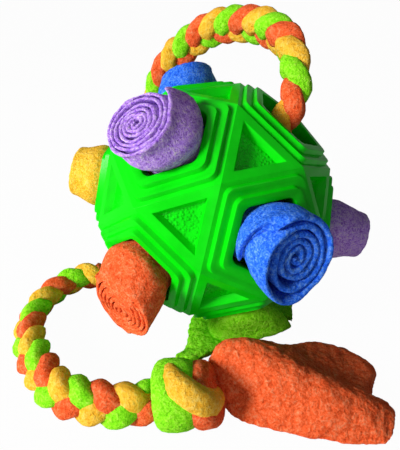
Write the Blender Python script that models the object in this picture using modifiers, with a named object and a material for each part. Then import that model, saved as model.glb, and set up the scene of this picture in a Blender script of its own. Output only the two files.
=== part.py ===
"""Snuffle ball: a hollow rubber ball with twelve windows, stuffed with rolled fleece strips.

A braided fleece rope goes through two opposite windows, stands over the ball as a handle, and
runs out along the floor to a knot with two loose tails. Lengths are in metres, +Z is up, and
the ball stands on the plane z = 0.
"""

import math

import bmesh
import bpy
from mathutils import Matrix, Vector

# Ball: a body of twelve pentagons and twenty triangles, centre to corner
BALL_RADIUS = 0.065
BALL_HEIGHT = 0.0695
BALL_MIDDLE_X = -0.00392
BALL_MIDDLE_Y = -0.01353
BALL_YAW = math.radians(-6.5)

# Terraces: two steps round each window, measured from the window's axis to a flat side
OUTER_TERRACE = 0.0255
INNER_TERRACE = 0.0213
TERRACE_HEIGHT = 0.0025
TERRACE_DRAFT = 0.0005

# Windows: pentagonal holes with rounded corners
WINDOW_APOTHEM = 0.0167
WINDOW_CORNER_CUT = 0.003
WINDOW_CORNER_STEPS = 2
CUT_OVERRUN = 0.004

# Triangles: sunk floors with sloping sides, and the wall behind them
RECESS_RIM = 0.0041
RECESS_DEPTH = 0.004
RECESS_SLOPE = 0.0014
WALL = 0.003

# Clearance between pieces that touch
TOUCH_GAP = 0.0003
TAIL_GAP = 0.0007

# Rolls: one fleece strip each, wound on itself
FLEECE_THICKNESS = 0.003
TURN_GAP = 0.0006
ROLL_CORE_RADIUS = 0.002
ROLL_LENGTH = 0.044
ROLL_POINTS_PER_TURN = 14
ROLL_SWELL_SHARE = 1.14
LIP_HOLD = 0.002

# Rope: a flat braid of three fleece strips, drawn here as a round tube
ROPE_DIAMETER = 0.0195
ROPE_STEP = 0.018
LEAD_STEP = 0.0135
ROPE_SIDES_LEVEL = 3
ROPE_BEND = 0.040
END_RUN = 0.003
SMOOTH_STEPS = 12
STRAIGHT_PLACES = 3
BEND_STEPS = 4
CORE_START = 0.030
LEAD_ARRIVAL = math.radians(12)

# Knots: the one that stops the rope inside the ball, and the one on its free end
STOPPER_LIP = 0.0023
END_KNOT_RADIUS = 0.0175
KNOT_FOOT = 0.0005
KNOT_SEGMENTS = 20
KNOT_RINGS = 12

# Tails: the ends of the fleece strips past the end knot
TAIL_THICKNESS = 0.004
TAIL_RISE = 0.032
TAIL_REACH = 0.0855
TAIL_SPREAD = 0.045

# The cutter below the floor, whose width is a share of the ball's radius
FLOOR_CUT_SHARE = 4

GOLDEN = (1 + math.sqrt(5)) / 2
PENTAGON = math.radians(36)
CREASE = math.radians(40)
MERGE = 0.0001

RUBBER_ROUGHNESS = 0.35
FLEECE_ROUGHNESS = 0.95

RUBBER_GREEN = (0.0, 0.55, 0.01)
FLEECE_COLOURS = {
    "purple": (0.30, 0.10, 0.50),
    "blue": (0.05, 0.16, 0.75),
    "orange": (0.80, 0.13, 0.02),
    "yellow": (0.90, 0.50, 0.06),
    "lime": (0.25, 0.75, 0.03),
}

# Window tilts from the vertical, on a ball that stands on one of its triangles
STEEP_TILT = math.acos(math.sqrt((5 + 2 * math.sqrt(5)) / 15))
FLAT_TILT = math.acos(math.sqrt((5 - 2 * math.sqrt(5)) / 15))

# Windows by name: tilt from +Z and turn about it, before the ball's own yaw
WINDOWS = {
    "top_right": (STEEP_TILT, 0),
    "top_back": (STEEP_TILT, 120),
    "top_left": (STEEP_TILT, 240),
    "front": (FLAT_TILT, 300),
    "back_right": (FLAT_TILT, 60),
    "left": (FLAT_TILT, 180),
    "right": (math.pi - FLAT_TILT, 0),
    "back_left": (math.pi - FLAT_TILT, 120),
    "front_left": (math.pi - FLAT_TILT, 240),
    "base_front": (math.pi - STEEP_TILT, 300),
    "base_back": (math.pi - STEEP_TILT, 60),
    "base_left": (math.pi - STEEP_TILT, 180),
}
HANDLE_START_WINDOW = "back_left"
ROPE_IN_WINDOW = "top_right"
ROPE_OUT_WINDOW = "base_left"

# Rolls by window: colour and turn of the loose edge
ROLLS = {
    "top_left": ("purple", 60),
    "front": ("blue", 190),
    "front_left": ("orange", 100),
    "top_back": ("blue", 0),
    "left": ("yellow", 80),
    "right": ("purple", 140),
    "base_front": ("lime", 150),
    "base_back": ("yellow", 30),
    "back_right": ("lime", 200),
}
STANDING_ROLLS = ("base_front", "base_back")

# Outer end of each roll, from the ball's middle, as a share of the ball's radius
ROLL_END_SHARES = {
    "top_left": 1.16,
    "front": 1.26,
    "front_left": 1.26,
    "top_back": 1.14,
    "left": 1.18,
    "right": 1.30,
    "base_front": 1.23,
    "base_back": 1.23,
    "back_right": 1.24,
}

# Handle: places of the rope over the ball, as shares of the ball's radius from its middle
HANDLE_SHARES = (
    (-0.492, 1.135, -0.175),
    (-0.60, 1.388, 0.022),
    (-0.655, 1.505, 0.25),
    (-0.655, 1.48, 0.48),
    (-0.62, 1.42, 0.66),
    (-0.532, 1.37, 0.84),
    (-0.38, 1.33, 1.01),
    (-0.20, 1.28, 1.15),
    (0.0, 1.15, 1.26),
    (0.20, 0.98, 1.29),
    (0.35, 0.78, 1.30),
    (0.46, 0.55, 1.27),
    (0.54, 0.31, 1.19),
    (0.615, 0.12, 1.06),
    (0.61, -0.01, 0.87),
)

# Lead: places of the rope on the floor, left of and in front of the ball, as the same shares
LEAD_SHARES = (
    (-1.21, 0.137),
    (-1.34, 0.09),
    (-1.465, -0.02),
    (-1.56, -0.18),
    (-1.61, -0.39),
    (-1.585, -0.61),
    (-1.49, -0.83),
    (-1.34, -1.03),
    (-1.15, -1.215),
)
END_KNOT_SHARES = (-0.235, -1.24)

# Orange tail: rows from the knot to its cut end; each place is (along, across, height) as
# shares of the tail's reach, spread and rise, from the near edge over the ridge to the far edge
ORANGE_TAIL_SHARES = (
    ((0.0, -0.12, 0.10), (0.0, -0.06, 0.34), (0.0, 0.08, 0.48), (0.0, 0.18, 0.36), (0.0, 0.24, 0.16)),
    ((0.05, -0.13, 0.10), (0.05, -0.06, 0.34), (0.05, 0.08, 0.48), (0.05, 0.18, 0.36), (0.05, 0.24, 0.16)),
    ((0.13, -0.20, 0.02), (0.13, -0.02, 0.42), (0.12, 0.18, 0.80), (0.13, 0.28, 0.70), (0.14, 0.31, 0.46)),
    ((0.26, -0.28, 0.01), (0.26, -0.04, 0.50), (0.25, 0.24, 1.00), (0.27, 0.34, 0.90), (0.29, 0.36, 0.66)),
    ((0.43, -0.34, 0.01), (0.43, -0.10, 0.46), (0.43, 0.20, 0.90), (0.44, 0.38, 0.78), (0.45, 0.54, 0.58)),
    ((0.60, -0.38, 0.01), (0.60, -0.16, 0.32), (0.60, 0.10, 0.64), (0.62, 0.40, 0.58), (0.63, 0.72, 0.44)),
    ((0.76, -0.41, 0.01), (0.76, -0.22, 0.20), (0.75, 0.0, 0.36), (0.77, 0.32, 0.36), (0.79, 0.64, 0.26)),
    ((0.88, -0.43, 0.01), (0.90, -0.26, 0.14), (0.90, -0.10, 0.22), (0.82, 0.10, 0.22), (0.89, 0.34, 0.12)),
)

# Green tail's root at the knot: (across, height) as shares of the tail's spread and rise
GREEN_ROOT_SHARES = ((-0.08, 0.32), (0.02, 0.36), (0.13, 0.32))

# Green tail: rows from the root, under the ball, to its cut end; each place is (x, y) as shares
# of the ball's radius from the ball's middle and a height as a share of the tail's rise
GREEN_TAIL_SHARES = (
    ((-0.29, -0.84, 0.14), (-0.20, -0.84, 0.18), (-0.10, -0.84, 0.14)),
    ((-0.27, -0.62, 0.0), (-0.16, -0.63, 0.04), (-0.04, -0.64, 0.0)),
    ((-0.20, -0.34, 0.0), (-0.11, -0.39, 0.0), (-0.01, -0.44, 0.0)),
    ((-0.06, -0.10, 0.0), (0.03, -0.18, 0.0), (0.12, -0.26, 0.0)),
    ((0.22, 0.04, 0.0), (0.25, -0.07, 0.0), (0.28, -0.18, 0.0)),
    ((0.50, 0.02, 0.0), (0.50, -0.10, 0.0), (0.50, -0.22, 0.0)),
    ((0.76, -0.12, 0.0), (0.74, -0.26, 0.0), (0.72, -0.40, 0.0)),
    ((0.86, -0.20, 0.0), (0.83, -0.34, 0.0), (0.80, -0.47, 0.0)),
)


def ball_middle():
    """Middle of the ball above the floor."""
    return Vector((BALL_MIDDLE_X, BALL_MIDDLE_Y, BALL_HEIGHT))


def window_direction(window):
    """Unit vector from the ball's middle through a window."""
    tilt, turn = WINDOWS[window]
    azimuth = BALL_YAW + math.radians(turn)
    return Vector((
        math.sin(tilt) * math.cos(azimuth),
        math.sin(tilt) * math.sin(azimuth),
        math.cos(tilt),
    ))


def frame_along(direction, side):
    """Rotation whose Z runs along a direction, with X towards a side direction."""
    z_axis = direction.normalized()
    y_axis = z_axis.cross(side).normalized()
    x_axis = y_axis.cross(z_axis)
    return Matrix((x_axis, y_axis, z_axis)).transposed()


def pentagon_distance(radius):
    """Distance of a pentagon from the middle of a body with this corner radius."""
    corner = radius / GOLDEN / (2 * math.sin(PENTAGON))
    return math.sqrt(radius**2 - corner**2)


def pentagon_apothem(radius):
    """Distance from a pentagon's middle to its side on a body with this corner radius."""
    return radius / GOLDEN / (2 * math.tan(PENTAGON))


def triangle_distance(radius):
    """Distance of a triangle from the middle of a body with this corner radius."""
    corner = radius / GOLDEN / math.sqrt(3)
    return math.sqrt(radius**2 - corner**2)


def cavity_radius():
    """Corner radius of the hollow, which leaves the wall behind the sunk triangles."""
    inside = triangle_distance(BALL_RADIUS) - RECESS_DEPTH - WALL
    return BALL_RADIUS * inside / triangle_distance(BALL_RADIUS)


def terrace_top():
    """Distance of the upper terrace from the ball's middle."""
    return pentagon_distance(BALL_RADIUS) + 2 * TERRACE_HEIGHT


def roll_radius():
    """Radius of a roll where it sits in its window."""
    return WINDOW_APOTHEM - TOUCH_GAP


def roll_travel(window):
    """How far a roll slides out before its inner end leaves the window."""
    outer_end = ROLL_END_SHARES[window] * BALL_RADIUS
    return terrace_top() - LIP_HOLD - (outer_end - ROLL_LENGTH)


def make_material(name, colour, roughness):
    """Material of one piece."""
    material = bpy.data.materials.new(name)
    material.use_nodes = True
    shader = material.node_tree.nodes["Principled BSDF"]
    shader.inputs["Base Color"].default_value = (*colour, 1.0)
    shader.inputs["Roughness"].default_value = roughness
    shader.inputs["Metallic"].default_value = 0.0
    material.diffuse_color = (*colour, 1.0)
    return material


def add_object(name, mesh, collection, matrix=None):
    """Object in a collection, placed by a matrix."""
    piece = bpy.data.objects.new(name, mesh)
    collection.objects.link(piece)
    if matrix is not None:
        piece.matrix_world = matrix
    return piece


def dress(piece, colour, roughness):
    """Give a piece its own material."""
    piece.data.materials.append(make_material(piece.name + "_material", colour, roughness))


def add_cut(piece, cutter):
    """Boolean difference that stays live on the piece."""
    cut = piece.modifiers.new("cut_" + cutter.name, "BOOLEAN")
    cut.operation = "DIFFERENCE"
    cut.object = cutter
    cut.solver = "EXACT"


def hide_cutter(cutter):
    """Show a cutter as a wire that isn't part of the model."""
    cutter.hide_render = True
    cutter.display_type = "WIRE"


def mesh_from_bmesh(name, bm, smooth=False):
    """Finish a bmesh as a mesh with its faces pointing out."""
    bmesh.ops.recalc_face_normals(bm, faces=bm.faces[:])
    mesh = bpy.data.meshes.new(name)
    bm.to_mesh(mesh)
    bm.free()
    if smooth:
        mesh.shade_smooth()
        mesh.set_sharp_from_angle(angle=CREASE)
    return mesh


def cut_corners_body(radius):
    """An icosahedron with its corners cut back to the middles of its edges, as a bmesh."""
    bm = bmesh.new()
    bmesh.ops.create_icosphere(bm, subdivisions=1, radius=1.0)
    bm.verts.ensure_lookup_table()
    first = max(bm.verts, key=lambda v: v.co.z)
    second = first.link_edges[0].other_vert(first)
    here = frame_along(first.co, second.co)
    there = frame_along(window_direction("top_right"), window_direction("top_left"))
    turn = there @ here.transposed()
    bmesh.ops.bevel(
        bm, geom=bm.verts[:], offset=50, offset_type="PERCENT", affect="VERTICES",
        segments=1, profile=0.5, clamp_overlap=False,
    )
    bmesh.ops.remove_doubles(bm, verts=bm.verts[:], dist=MERGE)
    size = radius / bm.verts[:][0].co.length
    bmesh.ops.transform(bm, matrix=turn.to_4x4() @ Matrix.Scale(size, 4), verts=bm.verts[:])
    bmesh.ops.recalc_face_normals(bm, faces=bm.faces[:])
    return bm


def inset_faces(bm, faces, thickness, depth):
    """Draw each face in and move it along its normal."""
    bmesh.ops.inset_individual(
        bm, faces=faces, thickness=thickness, depth=depth, use_even_offset=True,
    )


def make_ball_outside():
    """Outer surface of the ball, with its terraces and sunk triangles, as a closed body."""
    bm = cut_corners_body(BALL_RADIUS)
    pentagons = [face for face in bm.faces if len(face.verts) == 5]
    triangles = [face for face in bm.faces if len(face.verts) == 3]
    to_outer = pentagon_apothem(BALL_RADIUS) - OUTER_TERRACE
    to_inner = OUTER_TERRACE - TERRACE_DRAFT - INNER_TERRACE
    inset_faces(bm, pentagons, to_outer, 0)
    inset_faces(bm, pentagons, TERRACE_DRAFT, TERRACE_HEIGHT)
    inset_faces(bm, pentagons, to_inner, 0)
    inset_faces(bm, pentagons, TERRACE_DRAFT, TERRACE_HEIGHT)
    inset_faces(bm, triangles, RECESS_RIM, 0)
    inset_faces(bm, triangles, RECESS_SLOPE, -RECESS_DEPTH)
    return mesh_from_bmesh("ball_shell", bm)


def make_cavity_cutter(collection):
    """The hollow of the ball."""
    mesh = mesh_from_bmesh("cavity_cutter", cut_corners_body(cavity_radius()))
    cutter = add_object("cavity_cutter", mesh, collection, Matrix.Translation(ball_middle()))
    hide_cutter(cutter)
    return cutter


def corner_turn(point):
    """Turn about Z that brings a point's direction to +X."""
    return -math.atan2(point.y, point.x)


def neighbour_direction(window):
    """Direction of one of the five windows next to a window."""
    direction = window_direction(window)
    others = [window_direction(other) for other in WINDOWS if other != window]
    return max(others, key=lambda other: round(other.dot(direction), 4))


def add_window_bar(bm, window):
    """Pentagonal bar with rounded corners along a window's axis."""
    inner = pentagon_distance(cavity_radius()) - CUT_OVERRUN
    outer = terrace_top() + CUT_OVERRUN
    corner_radius = WINDOW_APOTHEM / math.cos(PENTAGON)
    bar = bmesh.ops.create_cone(
        bm, cap_ends=True, segments=5, radius1=corner_radius, radius2=corner_radius,
        depth=outer - inner,
    )
    turn = corner_turn(bar["verts"][0].co)
    edges = set(edge for vert in bar["verts"] for edge in vert.link_edges)
    sides = [edge for edge in edges if abs(edge.verts[0].co.z - edge.verts[1].co.z) > CUT_OVERRUN]
    rounded = bmesh.ops.bevel(
        bm, geom=sides, offset=WINDOW_CORNER_CUT, offset_type="OFFSET", affect="EDGES",
        segments=WINDOW_CORNER_STEPS, profile=0.5,
    )
    verts = list(set(vert for face in rounded["faces"] for vert in face.verts))
    lift = Matrix.Translation((0, 0, (inner + outer) / 2))
    aim = frame_along(window_direction(window), neighbour_direction(window)).to_4x4()
    bmesh.ops.transform(bm, matrix=aim @ lift @ Matrix.Rotation(turn, 4, "Z"), verts=verts)


def make_window_cutters(collection):
    """One bar through each of the twelve windows, as one cutter."""
    bm = bmesh.new()
    for window in WINDOWS:
        add_window_bar(bm, window)
    place = Matrix.Translation(ball_middle())
    cutter = add_object("window_cutters", mesh_from_bmesh("window_cutters", bm), collection, place)
    hide_cutter(cutter)
    return cutter


def make_ball_shell(parts, cutters):
    """The rubber ball: terraces and sunk triangles outside, a plain hollow inside."""
    shell = add_object("ball_shell", make_ball_outside(), parts, Matrix.Translation(ball_middle()))
    dress(shell, RUBBER_GREEN, RUBBER_ROUGHNESS)
    add_cut(shell, make_cavity_cutter(cutters))
    add_cut(shell, make_window_cutters(cutters))


def spiral_places():
    """Middle line of a rolled strip, from its core to its outer turn, and its least gap."""
    pitch = FLEECE_THICKNESS + TURN_GAP
    turns = (roll_radius() - FLEECE_THICKNESS / 2 - ROLL_CORE_RADIUS) / pitch
    places = []
    for step in range(math.floor(turns * ROLL_POINTS_PER_TURN) + 1):
        angle = step * 2 * math.pi / ROLL_POINTS_PER_TURN
        radius = ROLL_CORE_RADIUS + pitch * step / ROLL_POINTS_PER_TURN
        places.append(Vector((radius * math.cos(angle), radius * math.sin(angle), 0)))
    per_turn = ROLL_POINTS_PER_TURN
    gaps = [
        distance_to_segment(place, places[at + per_turn - 1], places[at + per_turn])
        for at, place in enumerate(places[:-per_turn])
    ]
    return places, min(gaps) - FLEECE_THICKNESS


def distance_to_segment(place, start, end):
    """Distance of a place from the straight line through two others, between them."""
    along = end - start
    share = min(max((place - start).dot(along) / along.length_squared, 0), 1)
    return (place - start - along * share).length


def make_roll_mesh(name, outer_end):
    """Rolled strip along +Z, straight through the window and swollen outside it."""
    places, least_gap = spiral_places()
    print(f"{name}: least gap between turns {least_gap * 1000:.2f} mm")
    rows = (
        (outer_end - ROLL_LENGTH, 1.0),
        (terrace_top(), 1.0),
        (outer_end, ROLL_SWELL_SHARE),
    )
    bm = bmesh.new()
    grid = []
    for height, swell in rows:
        grid.append([bm.verts.new((p.x * swell, p.y * swell, height)) for p in places])
    for low, high in zip(grid, grid[1:]):
        for at in range(len(places) - 1):
            bm.faces.new((low[at], low[at + 1], high[at + 1], high[at]))
    mesh = bpy.data.meshes.new(name)
    bm.to_mesh(mesh)
    bm.free()
    mesh.shade_smooth()
    mesh.set_sharp_from_angle(angle=CREASE)
    return mesh


def make_floor_cutter(collection):
    """Everything below the floor, which flattens what the ball stands on."""
    bm = bmesh.new()
    bmesh.ops.create_cube(bm, size=1.0)
    width = FLOOR_CUT_SHARE * BALL_RADIUS
    bmesh.ops.scale(bm, vec=(width, width, BALL_RADIUS), verts=bm.verts[:])
    place = Matrix.Translation((BALL_MIDDLE_X, BALL_MIDDLE_Y, -BALL_RADIUS / 2))
    cutter = add_object("floor_cutter", mesh_from_bmesh("floor_cutter", bm), collection, place)
    hide_cutter(cutter)
    return cutter


def make_rolls(parts, cutters):
    """One fleece roll in each stuffed window; the two under the ball stand flat on the floor."""
    floor_cutter = make_floor_cutter(cutters)
    for window, (colour, turn) in ROLLS.items():
        outer_end = ROLL_END_SHARES[window] * BALL_RADIUS
        name = "roll_" + window
        aim = frame_along(window_direction(window), neighbour_direction(window)).to_4x4()
        place = Matrix.Translation(ball_middle()) @ aim @ Matrix.Rotation(math.radians(turn), 4, "Z")
        roll = add_object(name, make_roll_mesh(name, outer_end), parts, place)
        strip = roll.modifiers.new("strip", "SOLIDIFY")
        strip.thickness = FLEECE_THICKNESS
        strip.offset = 0
        strip.use_even_offset = True
        if window in STANDING_ROLLS:
            add_cut(roll, floor_cutter)
        dress(roll, FLEECE_COLOURS[colour], FLEECE_ROUGHNESS)
        direction = window_direction(window)
        print(f"{name}: axis {tuple(round(c, 5) for c in direction)} travel {roll_travel(window):.4f}")


def stopper_radius():
    """Radius of the inner knot, wider than its window so that it can't pull through."""
    return WINDOW_APOTHEM + STOPPER_LIP


def knot_flat(radius):
    """Distance from a knot's middle to the flat where the rope meets it."""
    return math.sqrt(radius**2 - (ROPE_DIAMETER / 2) ** 2)


def stopper_middle():
    """Middle of the inner knot, seated on the inner edges of its window."""
    reach = math.sqrt((stopper_radius() + TOUCH_GAP) ** 2 - WINDOW_APOTHEM**2)
    distance = pentagon_distance(cavity_radius()) - reach
    return ball_middle() + window_direction(HANDLE_START_WINDOW) * distance


def end_knot_middle():
    """Middle of the end knot, which lies on the floor."""
    place = ball_middle() + BALL_RADIUS * Vector((*END_KNOT_SHARES, 0))
    return Vector((place.x, place.y, END_KNOT_RADIUS))


def rope_floor_height():
    """Height of the rope's middle line on the floor, where its tube lies on one flat side."""
    sides = 2 * (ROPE_SIDES_LEVEL + 2)
    return ROPE_DIAMETER / 2 * math.cos(math.pi / sides)


def floor_place(shares):
    """Place of the rope's middle line where it lies on the floor."""
    place = ball_middle() + BALL_RADIUS * Vector((*shares, 0))
    return Vector((place.x, place.y, rope_floor_height()))


def lead_arrival():
    """Level direction in which the lead runs into the end knot."""
    return Vector((math.cos(LEAD_ARRIVAL), math.sin(LEAD_ARRIVAL), 0))


def rope_exit_places():
    """The rope's way out of the ball: down its window's axis, round a bend and onto the floor."""
    direction = window_direction(ROPE_OUT_WINDOW)
    level = Vector((direction.x, direction.y, 0)).normalized()
    slope = math.asin(-direction.z)
    rise = level * math.sin(slope) + Vector((0, 0, 1)) * math.cos(slope)
    drop = ROPE_BEND * (1 - math.cos(slope))
    start = (BALL_HEIGHT - rope_floor_height() - drop) / math.sin(slope)
    first = ball_middle() + direction * start
    places = []
    for step in range(BEND_STEPS + 1):
        angle = slope * step / BEND_STEPS
        along = direction * math.sin(angle) + rise * (1 - math.cos(angle))
        places.append(first + ROPE_BEND * along)
    for _ in range(STRAIGHT_PLACES - 1):
        places.append(places[-1] + level * END_RUN)
    return places


def rope_route():
    """Places of the whole rope, and which of them end its handle and its core."""
    middle = ball_middle()
    out = window_direction(HANDLE_START_WINDOW)
    through = window_direction(ROPE_IN_WINDOW)
    knot_end = stopper_middle() + out * (knot_flat(stopper_radius()) + TOUCH_GAP)
    handle = [knot_end + out * END_RUN * steps for steps in range(STRAIGHT_PLACES)]
    handle += [middle + BALL_RADIUS * Vector(shares) for shares in HANDLE_SHARES]
    inside = [middle + through * distance for distance in (
        pentagon_distance(cavity_radius()), CORE_START, 0, -CORE_START,
    )]
    leaving = rope_exit_places()
    lead = [floor_place(shares) for shares in LEAD_SHARES]
    reach = knot_flat(END_KNOT_RADIUS) + TOUCH_GAP
    for distance in (reach + LEAD_STEP, reach):
        place = end_knot_middle() - lead_arrival() * distance
        lead.append(Vector((place.x, place.y, rope_floor_height())))
    handle_last = len(handle) + 1
    core_last = len(handle) + len(inside) + len(leaving) - 1
    return handle + inside + leaving + lead, handle_last, core_last


def smooth_place(before, start, end, after, share):
    """Place on the smooth curve between two of its points, with their outer neighbours."""
    knots = [0]
    for one, other in ((before, start), (start, end), (end, after)):
        knots.append(knots[-1] + math.sqrt((other - one).length))
    at = knots[1] + share * (knots[2] - knots[1])

    def mix(one, other, low, high):
        return one + (other - one) * ((at - low) / (high - low))

    first = mix(before, start, knots[0], knots[1])
    second = mix(start, end, knots[1], knots[2])
    third = mix(end, after, knots[2], knots[3])
    left = mix(first, second, knots[0], knots[2])
    right = mix(second, third, knots[1], knots[3])
    return mix(left, right, knots[1], knots[2])


def smooth_line(points, first, last):
    """Close places on the smooth curve through the points, from one of them to another."""
    padded = [2 * points[0] - points[1], *points, 2 * points[-1] - points[-2]]
    line = []
    for at in range(first, last):
        quad = padded[at:at + 4]
        line += [smooth_place(*quad, step / SMOOTH_STEPS) for step in range(SMOOTH_STEPS)]
    line.append(points[last].copy())
    return line


def spaced(line, step):
    """Places along a line at an even spacing close to the step, ends included."""
    lengths = [0]
    for one, other in zip(line, line[1:]):
        lengths.append(lengths[-1] + (other - one).length)
    count = max(2, round(lengths[-1] / step))
    places = []
    at = 0
    for number in range(count + 1):
        wanted = lengths[-1] * number / count
        while at < len(lengths) - 2 and lengths[at + 1] < wanted:
            at += 1
        share = (wanted - lengths[at]) / (lengths[at + 1] - lengths[at])
        places.append(line[at].lerp(line[at + 1], share))
    return places, lengths[-1]


def make_rope_piece(name, line, step, parts):
    """Round tube along a line, closed at both ends, which are cut square to the line."""
    places, length = spaced(line, step)
    places.insert(1, line[0] + (line[1] - line[0]).normalized() * END_RUN)
    places.insert(-1, line[-1] + (line[-2] - line[-1]).normalized() * END_RUN)
    print(f"{name}: {length:.4f} m, {len(places)} places")
    curve = bpy.data.curves.new(name, "CURVE")
    curve.dimensions = "3D"
    curve.bevel_depth = ROPE_DIAMETER / 2
    curve.bevel_resolution = ROPE_SIDES_LEVEL
    curve.use_fill_caps = True
    spline = curve.splines.new("POLY")
    spline.points.add(len(places) - 1)
    for point, place in zip(spline.points, places):
        point.co = (*place, 1)
    tube = add_object(name, curve, parts)
    dress(tube, FLEECE_COLOURS["yellow"], FLEECE_ROUGHNESS)


def shorten(line, start, end):
    """Move a line's first and last place inward along it."""
    line[0] = line[0] + (line[1] - line[0]).normalized() * start
    line[-1] = line[-1] + (line[-2] - line[-1]).normalized() * end
    return line


def make_rope(parts):
    """The rope in three pieces: handle over the ball, core through it, lead on the floor."""
    route, handle_last, core_last = rope_route()
    half_gap = TOUCH_GAP / 2
    handle = shorten(smooth_line(route, 0, handle_last), 0, half_gap)
    core = shorten(smooth_line(route, handle_last, core_last), half_gap, half_gap)
    lead = shorten(smooth_line(route, core_last, len(route) - 1), half_gap, 0)
    make_rope_piece("rope_handle", handle, ROPE_STEP, parts)
    make_rope_piece("rope_core", core, ROPE_STEP, parts)
    make_rope_piece("rope_lead", lead, LEAD_STEP, parts)


def make_knot(name, radius, middle, flats, colour, parts):
    """Round knot with a flat on each side where something meets it."""
    bm = bmesh.new()
    bmesh.ops.create_uvsphere(bm, u_segments=KNOT_SEGMENTS, v_segments=KNOT_RINGS, radius=radius)
    for direction, distance in flats:
        everything = bm.verts[:] + bm.edges[:] + bm.faces[:]
        cut = bmesh.ops.bisect_plane(
            bm, geom=everything, plane_co=direction * distance, plane_no=direction,
            clear_outer=True,
        )
        rim = [item for item in cut["geom_cut"] if isinstance(item, bmesh.types.BMEdge)]
        bmesh.ops.contextual_create(bm, geom=rim)
    mesh = mesh_from_bmesh(name, bm, smooth=True)
    knot = add_object(name, mesh, parts, Matrix.Translation(middle))
    dress(knot, FLEECE_COLOURS[colour], FLEECE_ROUGHNESS)


def make_knots(parts):
    """The stopper knot inside the ball and the end knot on the floor."""
    out = window_direction(HANDLE_START_WINDOW)
    stopper_flat = knot_flat(stopper_radius())
    make_knot("stopper_knot", stopper_radius(), stopper_middle(), [(out, stopper_flat)], "orange", parts)
    distance = knot_flat(END_KNOT_RADIUS)
    flats = [
        (-lead_arrival(), distance),
        (Vector((1, 0, 0)), distance),
        (Vector((0, 1, 0)), distance),
        (Vector((0, 0, -1)), END_KNOT_RADIUS - KNOT_FOOT),
    ]
    make_knot("end_knot", END_KNOT_RADIUS, end_knot_middle(), flats, "lime", parts)


def make_sheet(name, rows, colour, parts):
    """Fleece sheet through rows of places, thickened upwards and smoothed."""
    bm = bmesh.new()
    grid = [[bm.verts.new(place) for place in row] for row in rows]
    for low, high in zip(grid, grid[1:]):
        for at in range(len(low) - 1):
            bm.faces.new((low[at], high[at], high[at + 1], low[at + 1]))
    bmesh.ops.recalc_face_normals(bm, faces=bm.faces[:])
    if bm.faces[:][0].normal.z < 0:
        bmesh.ops.reverse_faces(bm, faces=bm.faces[:])
    mesh = bpy.data.meshes.new(name)
    bm.to_mesh(mesh)
    bm.free()
    mesh.shade_smooth()
    sheet = add_object(name, mesh, parts)
    fold = sheet.modifiers.new("folds", "SUBSURF")
    fold.levels = 1
    fold.render_levels = 1
    body = sheet.modifiers.new("thickness", "SOLIDIFY")
    body.thickness = TAIL_THICKNESS
    body.offset = 1
    dress(sheet, FLEECE_COLOURS[colour], FLEECE_ROUGHNESS)


def make_tails(parts):
    """The two loose fleece ends past the end knot."""
    knot = end_knot_middle()
    start = knot.x + knot_flat(END_KNOT_RADIUS) + TAIL_GAP
    orange = [
        [
            Vector((start + along * TAIL_REACH, knot.y + across * TAIL_SPREAD, height * TAIL_RISE))
            for along, across, height in row
        ]
        for row in ORANGE_TAIL_SHARES
    ]
    make_sheet("tail_orange", orange, "orange", parts)
    root = knot.y + knot_flat(END_KNOT_RADIUS) + TAIL_GAP
    green = [
        [
            Vector((knot.x + across * TAIL_SPREAD, root + run, height * TAIL_RISE))
            for across, height in GREEN_ROOT_SHARES
        ]
        for run in (0, TAIL_THICKNESS)
    ]
    middle = ball_middle()
    for row in GREEN_TAIL_SHARES:
        green.append([
            Vector((middle.x + x * BALL_RADIUS, middle.y + y * BALL_RADIUS, height * TAIL_RISE))
            for x, y, height in row
        ])
    make_sheet("tail_green", green, "lime", parts)


def main():
    """Build the whole toy."""
    for old in list(bpy.data.objects):
        bpy.data.objects.remove(old)
    parts = bpy.data.collections.new("snuffle_ball")
    cutters = bpy.data.collections.new("cutters")
    bpy.context.scene.collection.children.link(parts)
    bpy.context.scene.collection.children.link(cutters)
    make_ball_shell(parts, cutters)
    make_rolls(parts, cutters)
    make_rope(parts)
    make_knots(parts)
    make_tails(parts)


if __name__ == "__main__":
    main()
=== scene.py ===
"""Looks of a snuffle ball: moulded rubber ball, rolled fleece stuffing and a braided fleece rope.

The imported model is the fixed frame. Each CAD solid is replaced by a finer piece on the same body.
Lengths are in metres, +Z is up, and the ball stands on z = 0.
"""

import logging
import math
from collections.abc import Callable
from dataclasses import dataclass
from enum import Enum

import bmesh
import bpy
import numpy as np
from mathutils import Matrix, Vector


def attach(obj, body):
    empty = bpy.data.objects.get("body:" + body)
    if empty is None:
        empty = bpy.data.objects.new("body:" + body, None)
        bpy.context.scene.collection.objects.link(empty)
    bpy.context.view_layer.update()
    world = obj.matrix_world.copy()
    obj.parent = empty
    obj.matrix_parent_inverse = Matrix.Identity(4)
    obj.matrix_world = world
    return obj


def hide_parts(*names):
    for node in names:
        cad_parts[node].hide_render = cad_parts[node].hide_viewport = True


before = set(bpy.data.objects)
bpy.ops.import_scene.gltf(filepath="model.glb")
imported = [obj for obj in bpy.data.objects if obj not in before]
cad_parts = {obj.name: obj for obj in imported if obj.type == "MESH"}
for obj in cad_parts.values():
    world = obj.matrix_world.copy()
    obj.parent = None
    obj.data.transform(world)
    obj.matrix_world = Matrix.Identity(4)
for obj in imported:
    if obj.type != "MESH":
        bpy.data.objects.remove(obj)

logging.basicConfig(level=logging.INFO, format="%(message)s")
log = logging.getLogger("snuffle_ball")

Place = tuple[float, float, float]

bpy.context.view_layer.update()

GOLDEN = (1 + math.sqrt(5)) / 2
PENTAGON = math.radians(36)
STEEP_TILT = math.acos(math.sqrt((5 + 2 * math.sqrt(5)) / 15))
FLAT_TILT = math.acos(math.sqrt((5 - 2 * math.sqrt(5)) / 15))

WHITE = (1.0, 1.0, 1.0, 1.0)
FLOOR_GAP = 0.0002
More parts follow.
